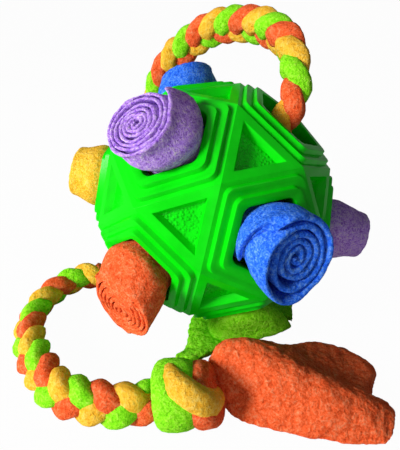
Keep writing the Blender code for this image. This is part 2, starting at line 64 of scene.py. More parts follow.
# Height, pace and way of the two waves that make a strip's winding uneven
UNEVEN_WINDING = ((0.00022, 2.3, 1), (0.00018, 3.7, -1))


class Window(Enum):
    """The ball's twelve windows: tilt from +Z in radians, and turn about it in degrees."""

    TOP_RIGHT = (STEEP_TILT, 0)
    TOP_BACK = (STEEP_TILT, 120)
    TOP_LEFT = (STEEP_TILT, 240)
    FRONT = (FLAT_TILT, 300)
    BACK_RIGHT = (FLAT_TILT, 60)
    LEFT = (FLAT_TILT, 180)
    RIGHT = (math.pi - FLAT_TILT, 0)
    BACK_LEFT = (math.pi - FLAT_TILT, 120)
    FRONT_LEFT = (math.pi - FLAT_TILT, 240)
    BASE_FRONT = (math.pi - STEEP_TILT, 300)
    BASE_BACK = (math.pi - STEEP_TILT, 60)
    BASE_LEFT = (math.pi - STEEP_TILT, 180)


@dataclass(frozen=True)
class BallSizes:
    """Sizes that the ball, its stuffing and its rope share, as the CAD model has them."""

    radius: float = 0.065
    middle: Place = (-0.00392, -0.01353, 0.0695)
    yaw: float = math.radians(-6.5)
    outer_terrace: float = 0.0255
    inner_terrace: float = 0.0213
    terrace_height: float = 0.0025
    terrace_draft: float = 0.0005
    window_apothem: float = 0.0167
    recess_rim: float = 0.0041
    recess_depth: float = 0.004
    recess_slope: float = 0.0014
    wall: float = 0.003

    def centre(self) -> Vector:
        """Middle of the ball."""
        return Vector(self.middle)

    def direction(self, window: Window) -> Vector:
        """Which way a window faces.

        Args:
            window: which window.

        Returns:
            Unit vector from the ball's middle through it.
        """
        tilt, turn = window.value
        azimuth = self.yaw + math.radians(turn)
        level = math.sin(tilt)
        return Vector((level * math.cos(azimuth), level * math.sin(azimuth), math.cos(tilt)))

    def pentagon_distance(self, radius: float) -> float:
        """Distance of a pentagon from the middle of a body with this corner radius."""
        corner = radius / GOLDEN / (2 * math.sin(PENTAGON))
        return math.sqrt(radius**2 - corner**2)

    def triangle_distance(self, radius: float) -> float:
        """Distance of a triangle from the middle of a body with this corner radius."""
        return math.sqrt(radius**2 - (radius / GOLDEN / math.sqrt(3)) ** 2)

    def terrace_top(self) -> float:
        """Distance of the upper terrace from the ball's middle."""
        return self.pentagon_distance(self.radius) + 2 * self.terrace_height

    def recess_floor(self) -> float:
        """Distance of a triangle's sunk floor from the ball's middle."""
        return self.triangle_distance(self.radius) - self.recess_depth

    def hollow_radius(self) -> float:
        """Corner radius of the hollow, whose triangles lie one wall behind the sunk floors."""
        depth = self.recess_floor() - self.wall
        return self.radius * depth / self.triangle_distance(self.radius)

    def neighbour(self, window: Window) -> Vector:
        """Find one of the five windows next to a window.

        Args:
            window: which window.

        Returns:
            Direction of the neighbour.
        """
        here = self.direction(window)
        others = [self.direction(other) for other in Window if other is not window]
        return max(others, key=lambda other: round(other.dot(here), 4))


SIZES = BallSizes()


def frame_along(direction: Vector, side: Vector) -> Matrix:
    """Rotation whose Z runs along a direction, with X towards a side direction.

    Args:
        direction: where Z points.
        side: a direction on the X side.

    Returns:
        The 3 by 3 rotation.
    """
    z_axis = direction.normalized()
    y_axis = z_axis.cross(side).normalized()
    x_axis = y_axis.cross(z_axis)
    return Matrix((x_axis, y_axis, z_axis)).transposed()


def smoothstep(share: float) -> float:
    """Soft step from 0 to 1."""
    share = min(max(share, 0.0), 1.0)
    return share * share * (3 - 2 * share)


def linear(hex_colour: str) -> tuple[float, float, float, float]:
    """Turn an sRGB hex colour to linear light.

    Args:
        hex_colour: six hex digits.

    Returns:
        Red, green, blue and an alpha of 1.
    """
    values = [int(hex_colour[at:at + 2], 16) / 255 for at in (0, 2, 4)]
    light = [v / 12.92 if v <= 0.04045 else ((v + 0.055) / 1.055) ** 2.4 for v in values]
    return (*light, 1.0)


# Finishes


class NodeDesk:
    """The node tree of a new material or world, with one way to add a node."""

    def __init__(self, owner: bpy.types.Material | bpy.types.World, output: str) -> None:
        """Empty the owner's node tree and start it with its output.

        Args:
            owner: the material or world.
            output: type of its output node.
        """
        owner.use_nodes = True
        self.owner = owner
        self.tree = owner.node_tree
        self.tree.nodes.clear()
        self.output = self.tree.nodes.new(output)

    @classmethod
    def for_material(cls, name: str) -> "NodeDesk":
        """Desk of a new material."""
        return cls(bpy.data.materials.new(name), "ShaderNodeOutputMaterial")

    def add(self, kind: str, settings: dict | None = None,
            stops: tuple[tuple[float, tuple], ...] = (), **inputs: object) -> bpy.types.Node:
        """Add a node with its settings, values and links.

        Args:
            kind: the node's type.
            settings: properties of the node.
            stops: place and colour of each stop, where it is a colour ramp.
            **inputs: socket name, with spaces as underscores, or i and the socket's number, to a
                value or an output socket.

        Returns:
            The node.
        """
        node = self.tree.nodes.new(kind)
        for key, value in (settings or {}).items():
            setattr(node, key, value)
        if stops:
            elements = node.color_ramp.elements
            while len(elements) < len(stops):
                elements.new(0.5)
            for element, (place, colour) in zip(elements, stops):
                element.position = place
                element.color = colour
        for key, value in inputs.items():
            if key[0] == "i" and key[1:].isdigit():
                socket = node.inputs[int(key[1:])]
            else:
                socket = node.inputs[key.replace("_", " ")]
            if isinstance(value, bpy.types.NodeSocket):
                self.tree.links.new(value, socket)
            else:
                socket.default_value = value
        return node

    def close(self, surface: bpy.types.Node) -> bpy.types.Material | bpy.types.World:
        """Link the surface to the output and return the tree's owner."""
        self.tree.links.new(surface.outputs[0], self.output.inputs["Surface"])
        return self.owner


@dataclass(frozen=True)
class Fleece:
    """Anti-pill polyester fleece: a brushed knit, matt, with a soft nap that pills in patches."""

    name: str
    # The lit colour is painted highlight on the raised tufts, and the third colour painted shade in the gaps
    lit: str
    base: str
    painted_shade: str
    pill_mm: float = 2.6
    nap_mm: float = 0.9
    patch_mm: float = 40 / 3
    pill_height: float = 0.0016
    nap_height: float = 0.0009
    relief: float = 0.8
    nap_share: float = 0.62
    contrast: float = 0.16
    roughness: float = 0.95
    specular: float = 0.06
    sheen: float = 0.05
    sheen_roughness: float = 0.6

    def shade(self, desk: NodeDesk, pills: bpy.types.Node, nap: bpy.types.Node,
              patches: bpy.types.Node) -> bpy.types.Node:
        """Colour the knit: painted highlight on tufts, painted shade in gaps, and patches a little lighter
        or darker.

        Args:
            desk: the material's nodes.
            pills: noise of the pills.
            nap: noise of the tufts.
            patches: broad noise.

        Returns:
            The node that gives the colour.
        """
        pills_part = desk.add("ShaderNodeMath", {"operation": "MULTIPLY"}, i0=pills.outputs["Fac"],
                              i1=1 - self.nap_share)
        mixed = desk.add("ShaderNodeMath", {"operation": "MULTIPLY_ADD"}, i0=nap.outputs["Fac"],
                         i1=self.nap_share, i2=pills_part.outputs[0])
        # Raised tufts and pills take the lit colour as painted highlight, and the gaps between them the
        # third colour as painted shade
        stops = ((0.5 - self.contrast, linear(self.painted_shade)), (0.5, linear(self.base)),
                 (0.5 + self.contrast, linear(self.lit)))
        knit = desk.add("ShaderNodeValToRGB", stops=stops, Fac=mixed.outputs[0])
        value = desk.add("ShaderNodeMapRange", i0=patches.outputs["Fac"], i1=0.3, i2=0.7,
                         i3=0.92, i4=1.06)
        return desk.add("ShaderNodeHueSaturation", Value=value.outputs[0],
                        Color=knit.outputs["Color"])

    def material(self) -> bpy.types.Material:
        """Build the fleece.

        Returns:
            A matt material with pills about pill_mm wide and tufts about nap_mm wide.
        """
        desk = NodeDesk.for_material(self.name + "_knit")
        places = desk.add("ShaderNodeTexCoord").outputs["Object"]
        # Pills and brushed patches, which take the light unevenly and also steer the painted highlight and
        # shade
        pills = desk.add("ShaderNodeTexNoise", i0=places, Scale=1000 / self.pill_mm,
                         Detail=3.0, Roughness=0.6)
        # Nap tufts of under a millimetre, drawn a little coarser than the yarn so that they show
        nap = desk.add("ShaderNodeTexNoise", i0=places, Scale=1000 / self.nap_mm,
                       Detail=4.0, Roughness=0.75)
        patches = desk.add("ShaderNodeTexNoise", i0=places, Scale=1000 / self.patch_mm, Detail=2.0)
        low = desk.add("ShaderNodeBump", Strength=self.relief, Distance=self.pill_height,
                       Height=pills.outputs["Fac"])
        high = desk.add("ShaderNodeBump", Strength=self.relief, Distance=self.nap_height,
                        Height=nap.outputs["Fac"], Normal=low.outputs[0])
        cloth = desk.add(
            "ShaderNodeBsdfPrincipled",
            Base_Color=self.shade(desk, pills, nap, patches).outputs["Color"],
            Roughness=self.roughness, Normal=high.outputs[0], Specular_IOR_Level=self.specular,
            Sheen_Weight=self.sheen, Sheen_Roughness=self.sheen_roughness,
            Sheen_Tint=linear(self.lit),
        )
        return desk.close(cloth)


@dataclass(frozen=True)
class MouldedRubber:
    """Injection-moulded thermoplastic rubber: saturated and satin, with soft highlights."""

    name: str
    colour: str
    shade: str
    pebble_mm: float = 0.0
    roughness: float = 0.34
    haze_mm: float = 50 / 3
    peel_mm: float = 10 / 9
    flash_half: float = 0.0003
    flash_height: float = 0.0002
    peel_height: float = 0.0002
    pebble_height: float = 0.0005
    index: float = 1.5
    coat: float = 0.15
    coat_roughness: float = 0.20

    def parting(self, desk: NodeDesk, places: bpy.types.NodeSocket) -> bpy.types.Node:
        """Raise the mould's parting lines, in two planes through the ball's middle.

        Args:
            desk: the material's nodes.
            places: the Object coordinates.

        Returns:
            The bump node.
        """
        centred = desk.add("ShaderNodeMapping", {"vector_type": "POINT"}, i0=places,
                           Location=tuple(-c for c in SIZES.middle))
        flash = None
        for window in (Window.TOP_RIGHT, Window.LEFT):
            off = desk.add("ShaderNodeVectorMath", {"operation": "DOT_PRODUCT"},
                           i0=centred.outputs[0], i1=tuple(SIZES.direction(window)))
            away = desk.add("ShaderNodeMath", {"operation": "ABSOLUTE"}, i0=off.outputs["Value"])
            line = desk.add("ShaderNodeMapRange", i0=away.outputs[0], i1=0.0, i2=self.flash_half,
                            i3=1.0, i4=0.0)
            flash = line if flash is None else desk.add(
                "ShaderNodeMath", {"operation": "MAXIMUM"}, i0=flash.outputs[0], i1=line.outputs[0])
        return desk.add("ShaderNodeBump", Strength=0.15, Distance=self.flash_height,
                        Height=flash.outputs[0])

    def grain(self, desk: NodeDesk, places: bpy.types.NodeSocket,
              under: bpy.types.Node) -> bpy.types.Node:
        """Raise the surface's own grain over another bump.

        Args:
            desk: the material's nodes.
            places: the Object coordinates.
            under: the bump below it.

        Returns:
            The bump node.
        """
        if not self.pebble_mm:
            # Fine orange peel of the polished steel
            peel = desk.add("ShaderNodeTexNoise", i0=places, Scale=1000 / self.peel_mm, Detail=2.0)
            return desk.add("ShaderNodeBump", Strength=0.12, Distance=self.peel_height,
                            Height=peel.outputs["Fac"], Normal=under.outputs[0])
        # Raised grains like leather, etched into the mould's triangle floors
        grains = desk.add("ShaderNodeTexVoronoi", {"feature": "SMOOTH_F1"}, i0=places,
                          Scale=1000 / self.pebble_mm, Smoothness=0.35, Randomness=0.85)
        raised = desk.add("ShaderNodeMapRange", i0=grains.outputs["Distance"], i1=0.15, i2=0.6,
                          i3=1.0, i4=0.0)
        return desk.add("ShaderNodeBump", Strength=1.0, Distance=self.pebble_height,
                        Height=raised.outputs[0], Normal=under.outputs[0])

    def material(self) -> bpy.types.Material:
        """Build the rubber.

        Returns:
            A satin material with a faint handling haze, the mould's parting lines, and a leather
            pebble where pebble_mm isn't 0.
        """
        desk = NodeDesk.for_material(self.name)
        places = desk.add("ShaderNodeTexCoord").outputs["Object"]
        haze = desk.add("ShaderNodeTexNoise", i0=places, Scale=1000 / self.haze_mm, Detail=4.0,
                        Roughness=0.55)
        colour = desk.add("ShaderNodeValToRGB", Fac=haze.outputs["Fac"],
                          stops=((0.3, linear(self.shade)), (0.7, linear(self.colour))))
        gloss = desk.add("ShaderNodeMapRange", i0=haze.outputs["Fac"], i1=0.3, i2=0.7,
                         i3=self.roughness - 0.05, i4=self.roughness + 0.09)
        relief = self.grain(desk, places, self.parting(desk, places))
        # The gloss is a light coat, so that the white ground doesn't veil the dark sides
        rubber = desk.add(
            "ShaderNodeBsdfPrincipled", Base_Color=colour.outputs["Color"],
            Roughness=gloss.outputs[0], Normal=relief.outputs[0], IOR=self.index,
            Specular_IOR_Level=0.0, Coat_Weight=self.coat, Coat_Roughness=self.coat_roughness,
            Coat_IOR=self.index,
        )
        return desk.close(rubber)


class FleeceColour(Enum):
    """The fleece strips' colours: painted highlight, body and painted shade."""

    PURPLE = Fleece("fleece_purple", "F8E8FF", "CC9AFF", "7424CC", 1.9, 0.8)
    BLUE = Fleece("fleece_blue", "88BCFF", "3078FC", "0A36CC", 2.4, 0.9)
    ORANGE = Fleece("fleece_orange", "FF9C6E", "FF6834", "D03A10", 2.6, 1.0)
    YELLOW = Fleece("fleece_yellow", "FFDC74", "FFC43A", "EC9A10", 2.6, 1.0)
    LIME = Fleece("fleece_lime", "C6FF58", "8EF21E", "54BC0A", 2.6, 1.0)

    def dress(self) -> bpy.types.Material:
        """This colour's material, made once."""
        return bpy.data.materials.get(self.value.name + "_knit") or self.value.material()


# Modelling helpers


def only(piece: bpy.types.Object) -> None:
    """Select one piece and nothing else.

    Args:
        piece: the piece, which becomes the active one.
    """
    bpy.ops.object.select_all(action="DESELECT")
    piece.select_set(True)
    bpy.context.view_layer.objects.active = piece


def new_primitive(name: str) -> bpy.types.Object:
    """Name the primitive just added, with its place in its mesh.

    Args:
        name: its name.

    Returns:
        The primitive.
    """
    piece = bpy.context.object
    piece.name = name
    piece.data.name = name
    bpy.ops.object.transform_apply(location=True, rotation=True, scale=True)
    return piece


def apply_modifiers(piece: bpy.types.Object) -> None:
    """Apply every modifier of a piece in order.

    Args:
        piece: the piece.
    """
    only(piece)
    for modifier in list(piece.modifiers):
        bpy.ops.object.modifier_apply(modifier=modifier.name)


def smooth_by_angle(piece: bpy.types.Object, degrees: float) -> None:
    """Shade a piece smooth up to an angle."""
    only(piece)
    bpy.ops.object.shade_smooth_by_angle(angle=math.radians(degrees))


def face_outward(piece: bpy.types.Object) -> None:
    """Turn every face of a closed piece outwards.

    Args:
        piece: the piece, in object mode.
    """
    only(piece)
    bpy.ops.object.mode_set(mode="EDIT")
    bpy.ops.mesh.select_all(action="SELECT")
    bpy.ops.mesh.normals_make_consistent(inside=False)
    bpy.ops.object.mode_set(mode="OBJECT")


def soften(piece: bpy.types.Object, levels: int) -> None:
    """Subdivide a piece smoothly.

    Args:
        piece: the piece.
        levels: how many times.
    """
    soft = piece.modifiers.new("soft", "SUBSURF")
    soft.levels = soft.render_levels = levels
    apply_modifiers(piece)


def round_sharp(piece: bpy.types.Object, radius: float, degrees: float) -> None:
    """Round the edges of a piece that are sharper than an angle.

    Args:
        piece: the piece.
        radius: width of the rounding.
        degrees: the angle.
    """
    rounding = piece.modifiers.new("rounding", "BEVEL")
    rounding.width = radius
    rounding.segments = 3
    rounding.limit_method = "ANGLE"
    rounding.angle_limit = math.radians(degrees)
    apply_modifiers(piece)


def round_edges(piece: bpy.types.Object, radius: float,
                wanted: Callable[[Vector, Vector], bool]) -> None:
    """Round the edges that a rule picks.

    Args:
        piece: the piece, in object mode.
        radius: width of the rounding.
        wanted: tells from the two ends of an edge whether it is rounded.
    """
    only(piece)
    bpy.ops.object.mode_set(mode="EDIT")
    bpy.ops.mesh.select_mode(type="EDGE")
    bpy.ops.mesh.select_all(action="DESELECT")
    bm = bmesh.from_edit_mesh(piece.data)
    for edge in bm.edges:
        if wanted(edge.verts[0].co, edge.verts[1].co):
            edge.select_set(True)
    bmesh.update_edit_mesh(piece.data)
    bpy.ops.mesh.bevel(offset_type="OFFSET", offset=radius, segments=5, affect="EDGES",
                       profile=0.5)
    bpy.ops.mesh.select_mode(type="FACE")
    bpy.ops.object.mode_set(mode="OBJECT")


def cut_out(piece: bpy.types.Object, cutter: bpy.types.Object) -> None:
    """Cut one body out of another and remove it.

    Args:
        piece: what it is cut out of.
        cutter: the body.
    """
    cut = piece.modifiers.new("cut", "BOOLEAN")
    cut.operation = "DIFFERENCE"
    cut.solver = "EXACT"
    cut.object = cutter
    apply_modifiers(piece)
    bpy.data.objects.remove(cutter)


def step_faces(piece: bpy.types.Object, sides: int, steps: list[tuple[float, float]]) -> None:
    """Inset each face with a number of sides, step by step.

    Args:
        piece: the piece, in edit mode.
        sides: how many sides the faces have.
        steps: width and height of each step.
    """
    bpy.ops.mesh.select_mode(type="FACE")
    bpy.ops.mesh.select_all(action="DESELECT")
    bm = bmesh.from_edit_mesh(piece.data)
    for face in bm.faces:
        if len(face.verts) == sides:
            face.select_set(True)
    bmesh.update_edit_mesh(piece.data)
    for width, height in steps:
        bpy.ops.mesh.inset(thickness=width, depth=height, use_individual=True)


def tube_faces(first: int, rings: int, count: int) -> list[tuple[int, ...]]:
    """Faces of a closed tube through rings of points.

    Args:
        first: number of the tube's first point.
        rings: how many rings it has.
        count: points in a ring.

    Returns:
        The faces of its wall and of its two ends.
    """
    faces = []
    for ring in range(rings - 1):
        for side in range(count):
            a = first + ring * count + side
            b = first + ring * count + (side + 1) % count
            faces.append((a, b, b + count, a + count))
    last = first + (rings - 1) * count
    faces.append(tuple(reversed(range(first, first + count))))
    faces.append(tuple(range(last, last + count)))
    return faces


def tangent_at(line: list[Vector], at: int) -> Vector:
    """Unit vector along a line of places, at one of them."""
    return (line[min(at + 1, len(line) - 1)] - line[max(at - 1, 0)]).normalized()


def lift_to(piece: bpy.types.Object, height: float) -> None:
    """Lift what lies lower than a height up to it.

    Args:
        piece: the piece.
        height: the least height.
    """
    for vert in piece.data.vertices:
        vert.co.z = max(vert.co.z, height)


def mesh_object(name: str, verts: np.ndarray, faces: list[tuple[int, ...]]) -> bpy.types.Object:
    """Object from points and faces, for cloth and cord, which have no primitive.

    Args:
        name: the piece's name.
        verts: its points.
        faces: its faces.

    Returns:
        The object, at the origin.
    """
    mesh = bpy.data.meshes.new(name)
    mesh.from_pydata([tuple(v) for v in verts], [], faces)
    mesh.validate()
    mesh.shade_smooth()
    piece = bpy.data.objects.new(name, mesh)
    bpy.context.scene.collection.objects.link(piece)
    return piece


def add_nap(piece: bpy.types.Object, wave_mm: float, height_mm: float, seed: int) -> None:
    """Raise and sink a cloth surface by soft noise.

    Args:
        piece: the cloth.
        wave_mm: width of a bump.
        height_mm: full height between dips and bumps.
        seed: shifts the noise so that pieces differ.
    """
    texture = bpy.data.textures.new(f"{piece.name}_nap_{wave_mm}", "CLOUDS")
    texture.noise_scale = wave_mm / 1000
    texture.noise_depth = 2
    # A shifted guide moves the noise, and is gone once the modifier is applied
    guide = bpy.data.objects.new(f"{piece.name}_guide", None)
    bpy.context.scene.collection.objects.link(guide)
    guide.location = (0.37 * seed, 0.21 * seed, 0.13 * seed)
    bpy.context.view_layer.update()
    nap = piece.modifiers.new("nap", "DISPLACE")
    nap.texture = texture
    nap.texture_coords = "OBJECT"
    nap.texture_coords_object = guide
    nap.strength = height_mm / 1000
    nap.mid_level = 0.5
    apply_modifiers(piece)
    bpy.data.objects.remove(guide)


# Ball


@dataclass
class Ball:
    """The hollow rubber moulding with terraced windows and sunk, pebbled triangles."""

    corner_round: float = 0.0030
    edge_round: float = 0.0012
    rim_round: float = 0.0007
    window_corner: float = 0.0030
    bar_inner: float = 0.036
    overrun: float = 0.004
    slack: float = 0.0001
    smooth: MouldedRubber = MouldedRubber("moulded_rubber_green", "0CDE10", "06C40A")
    pebbled: MouldedRubber = MouldedRubber(
        "moulded_rubber_green_pebbled", "0CDE10", "06C40A", pebble_mm=1.5, roughness=0.26)

    def cut_corners_body(self, name: str, radius: float) -> bpy.types.Object:
        """An icosahedron with its corners cut back to the middles of its edges.

        Args:
            name: the object's name.
            radius: its corner radius.

        Returns:
            The body, centred at the origin.
        """
        bpy.ops.object.select_all(action="DESELECT")
        bpy.ops.mesh.primitive_ico_sphere_add(subdivisions=1, radius=1.0)
        body = new_primitive(name)
        first = max(body.data.vertices, key=lambda v: v.co.z)
        edge = next(e for e in body.data.edges if first.index in e.vertices)
        second = body.data.vertices[next(v for v in edge.vertices if v != first.index)]
        here = frame_along(first.co, second.co)
        there = frame_along(SIZES.direction(Window.TOP_RIGHT), SIZES.direction(Window.TOP_LEFT))
        turn = there @ here.transposed()
        bpy.ops.object.mode_set(mode="EDIT")
        bpy.ops.mesh.select_all(action="SELECT")
        bpy.ops.mesh.bevel(offset_type="PERCENT", offset_pct=50, segments=1, affect="VERTICES",
                           clamp_overlap=False)
        bpy.ops.mesh.select_all(action="SELECT")
        bpy.ops.mesh.remove_doubles(threshold=self.slack)
        bpy.ops.mesh.normals_make_consistent(inside=False)
        bpy.ops.object.mode_set(mode="OBJECT")
        size = radius / body.data.vertices[0].co.length
        body.data.transform(turn.to_4x4() @ Matrix.Scale(size, 4))
        return body

    def terrace_corner(self, start: Vector, end: Vector) -> bool:
        """Tell a terrace's upright corner, which the cutter leaves round in the mould.

        Args:
            start: one end of an edge.
            end: its other end.

        Returns:
            Whether the edge runs along its window's axis, above the ball's own pentagon.
        """
        axes = [SIZES.direction(window) for window in Window]
        axis = max(axes, key=lambda a: a.dot((start + end) / 2))
        floor = SIZES.pentagon_distance(SIZES.radius) - self.slack
        along = (end - start).normalized()
        return abs(along.dot(axis)) > 0.9 and min(start.dot(axis), end.dot(axis)) > floor

    def dress(self, body: bpy.types.Object) -> None:
        """Give the sunk triangle floors the pebble and all else the smooth rubber.

        Args:
            body: the ball, centred at the origin.
        """
        body.data.materials.append(self.smooth.material())
        body.data.materials.append(self.pebbled.material())
        for face in body.data.polygons:
            off = abs(face.normal.dot(face.center) - SIZES.recess_floor())
            face.material_index = int(len(face.vertices) == 3 and off < 5 * self.slack)

    def outside(self) -> bpy.types.Object:
        """Build the outer surface.

        Returns:
            The closed body with two terraces a window and a sunk floor in each triangle.
        """
        body = self.cut_corners_body("ball", SIZES.radius)
        apothem = SIZES.radius / GOLDEN / (2 * math.tan(PENTAGON))
        draft, height = SIZES.terrace_draft, SIZES.terrace_height
        only(body)
        bpy.ops.object.mode_set(mode="EDIT")
        step_faces(body, 5, [
            (apothem - SIZES.outer_terrace, 0.0),
            (draft, height),
            (SIZES.outer_terrace - draft - SIZES.inner_terrace, 0.0),
            (draft, height),
        ])
        step_faces(body, 3, [
            (SIZES.recess_rim, 0.0),
            (SIZES.recess_slope, -SIZES.recess_depth),
        ])
        bpy.ops.object.mode_set(mode="OBJECT")
        self.dress(body)
        round_edges(body, self.corner_round, self.terrace_corner)
        round_sharp(body, self.edge_round, 24)
        return body

    def window_bar(self, window: Window) -> bpy.types.Object:
        """Pentagonal bar with rounded corners along a window's axis.

        Args:
            window: which window.

        Returns:
            The bar, about the origin.
        """
        outer = SIZES.terrace_top() + self.overrun
        length = outer - self.bar_inner
        bpy.ops.object.select_all(action="DESELECT")
        bpy.ops.mesh.primitive_cylinder_add(
            vertices=5, radius=SIZES.window_apothem / math.cos(PENTAGON), depth=length)
        bar = new_primitive("window_bar")
        corner = bar.data.vertices[0].co
        turn = Matrix.Rotation(-math.atan2(corner.y, corner.x), 4, "Z")
        round_edges(bar, self.window_corner, lambda start, end: abs(start.z - end.z) > length / 2)
        aim = frame_along(SIZES.direction(window), SIZES.neighbour(window)).to_4x4()
        bar.data.transform(aim @ Matrix.Translation((0, 0, (self.bar_inner + outer) / 2)) @ turn)
        return bar

    def build(self) -> bpy.types.Object:
        """Build and dress the ball.

        Returns:
            The ball, riding on its body.
        """
        ball = self.outside()
        hollow = self.cut_corners_body("hollow", SIZES.hollow_radius())
        bars = [self.window_bar(window) for window in Window]
        bpy.ops.object.select_all(action="DESELECT")
        for bar in bars:
            bar.select_set(True)
        bpy.context.view_layer.objects.active = bars[0]
        bpy.ops.object.join()
        cut_out(ball, hollow)
        cut_out(ball, bars[0])
        round_sharp(ball, self.rim_round, 62)
        smooth_by_angle(ball, 28)
        ball.data.transform(Matrix.Translation(SIZES.centre()))
        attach(ball, "ball")
        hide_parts("ball_shell")
        return ball


# Fleece rolls


@dataclass
class FleeceRoll:
    """One strip of fleece wound on itself and pushed into a window.

    Heights and radii are along and across the window's axis, from the ball's middle. A direction
    is a world direction, of which the part across the window counts.

    Attributes:
        end_share: height of the outer end in ball radii.
        edge_to: where the strip's loose edge lies.
        swell: how wide the roll gets outside its window.
        taper: how much of that it loses towards its end.
        dome: how far the middle of the end stands out.
        lean: how far the outer end is shifted.
        oval: how much longer one way across is than the other.
        flap: how far the loose edge stands off, over flap_sweep degrees.
        slant: how many degrees the strip runs on past its edge at the window.
        loosen: how far the outer turns come off the others on one side.
        slope: how much one side of the end stands out further, as a share of its distance.
        floor_flat: whether the floor presses the roll flat.
    """

    window: Window
    colour: FleeceColour
    end_share: float
    edge_to: Place = (0.0, 0.0, 1.0)
    swell: float = 1.16
    taper: float = 0.12
    dome: float = 0.0
    lean: Place = (0.0, 0.0, 0.0)
    oval: float = 0.0
    oval_to: Place = (0.0, 0.0, 1.0)
    flap: float = 0.0
    flap_sweep: float = 60.0
    slant: float = 0.0
    loosen: float = 0.0
    loosen_to: Place = (0.0, 0.0, 1.0)
    slope: float = 0.0
    slope_to: Place = (0.0, 0.0, 1.0)
    floor_flat: bool = False
    length: float = 0.044
    core: float = 0.0010
    pitch: float = 0.00265
    thickness: float = 0.0025
    window_fit: float = 0.0003
    mouth: float = 0.002
    least_end: float = 0.004
    pressed: float = 0.0012
    pressed_fade: float = 0.004
    swell_pace: float = 2.4
    taper_from: float = 0.3
    slant_from: float = 0.82
    loose_from: float = 0.55
    loose_over: float = 0.2
    ripple: tuple[float, float] = (7.0, 1.0)
    tufts: tuple[float, float] = (1.8, 0.5)
    steps: int = 40
    rim_steps: int = 5
    rows: tuple[float, ...] = (0.0, 0.2, 0.36, 0.44, 0.52, 0.60, 0.68, 0.76, 0.84, 0.91, 0.96)

    def outer_end(self) -> float:
        """Height of the roll's outer end."""
        return self.end_share * SIZES.radius

    def aim(self) -> Matrix:
        """Rotation from the window's own frame, Z outward, to the world."""
        return frame_along(SIZES.direction(self.window), SIZES.neighbour(self.window))

    def towards(self, world: Place) -> Vector:
        """Unit vector across the window that points most towards a world direction."""
        local = self.aim().transposed() @ Vector(world)
        return Vector((local.x, local.y, 0)).normalized()

    def spiral(self) -> list[tuple[float, float, float]]:
        """Wind the strip's middle line from the core to its loose edge.

        Returns:
            Angle, radius and share of the way out at each step.
        """
        reach = SIZES.window_apothem - self.window_fit - self.thickness / 2 - self.core
        turns = reach / self.pitch
        seed = list(Window).index(self.window)
        edge = self.towards(self.edge_to)
        first = math.atan2(edge.y, edge.x) - 2 * math.pi * turns
        places = []
        for step in range(int(turns * self.steps) + 1):
            angle = step * 2 * math.pi / self.steps
            radius = self.core + self.pitch * angle / (2 * math.pi)
            radius += sum(height * math.sin(angle * pace + way * seed)
                          for height, pace, way in UNEVEN_WINDING)
            places.append((first + angle, radius, angle / (2 * math.pi * turns)))
        return places

    def beyond_mouth(self, height: float) -> float:
        """How far a height is from the window's mouth, as a share of the part outside."""
        top = SIZES.terrace_top()
        return (height - top) / max(self.outer_end() - top, self.least_end)

    def out_share(self, height: float) -> float:
        """0 just inside the window's mouth and 1 at the roll's outer end."""
        return min(max(self.beyond_mouth(height + self.mouth), 0.0), 1.0)

    def swelling(self, height: float) -> float:
        """How much wider the roll is at a height than in its window.

        Args:
            height: along the axis from the ball's middle.

        Returns:
            The factor, which grows from 1 at the mouth and shrinks again towards the outer end.
        """
        share = self.out_share(height)
        narrowed = self.taper * smoothstep(
            (share - self.taper_from) / (1 - self.taper_from)) ** 1.4
        return 1 + (self.swell - 1) * smoothstep(share * self.swell_pace) - narrowed

    def place(self, angle: float, radius: float, share: float, height: float) -> Vector:
        """A point of the strip, shaped by how the roll sits.

        Args:
            angle: place along the spiral.
            radius: distance from the axis before the roll swells.
            share: 0 at the core, 1 at the loose edge.
            height: along the axis from the ball's middle.

        Returns:
            The point in the window's own frame, Z outward.
        """
        out = smoothstep(self.out_share(height))
        full = radius * self.swelling(height)
        sweep = self.flap_sweep * self.pitch / (360 * SIZES.window_apothem)
        full += self.flap * smoothstep((share - 1 + sweep) / sweep) * out
        # A strip wound askew runs on past its own edge towards the window
        late = smoothstep((share - self.slant_from) / (1 - self.slant_from))
        extra = math.radians(self.slant) * (1 - out) * late
        angle += extra
        full += self.pitch * extra / (2 * math.pi)
        # Only the outer turns come loose, on one side
        across = Vector((math.cos(angle), math.sin(angle), 0))
        side = max(across.dot(self.towards(self.loosen_to)), 0.0)
        full += self.loosen * out * side * smoothstep((share - self.loose_from) / self.loose_over)
        spot = across * full
        along = self.towards(self.oval_to)
        spot += (along * (2 * spot.dot(along)) - spot) * self.oval * out
        reach = SIZES.window_apothem * self.swell
        lift = self.dome * (1 - min(full / reach, 1) ** 2)
        lift += self.slope * spot.dot(self.towards(self.slope_to))
        return Vector((spot.x, spot.y, height + lift * out))

    def section(self) -> list[tuple[float, float]]:
        """Outline of the strip where a plane through the axis cuts it.

        Returns:
            Height and distance from the strip's middle line of each point, with a round border.
        """
        end, half = self.outer_end(), self.thickness / 2
        inner = end - self.length
        points = [(inner, 0.0)]
        points += [(inner + share * self.length, half) for share in self.rows]
        for step in range(self.rim_steps):
            angle = math.pi * (step + 1) / (self.rim_steps + 1)
            points.append((end - half + half * math.sin(angle), half * math.cos(angle)))
        return points + [(inner + share * self.length, -half) for share in reversed(self.rows)]

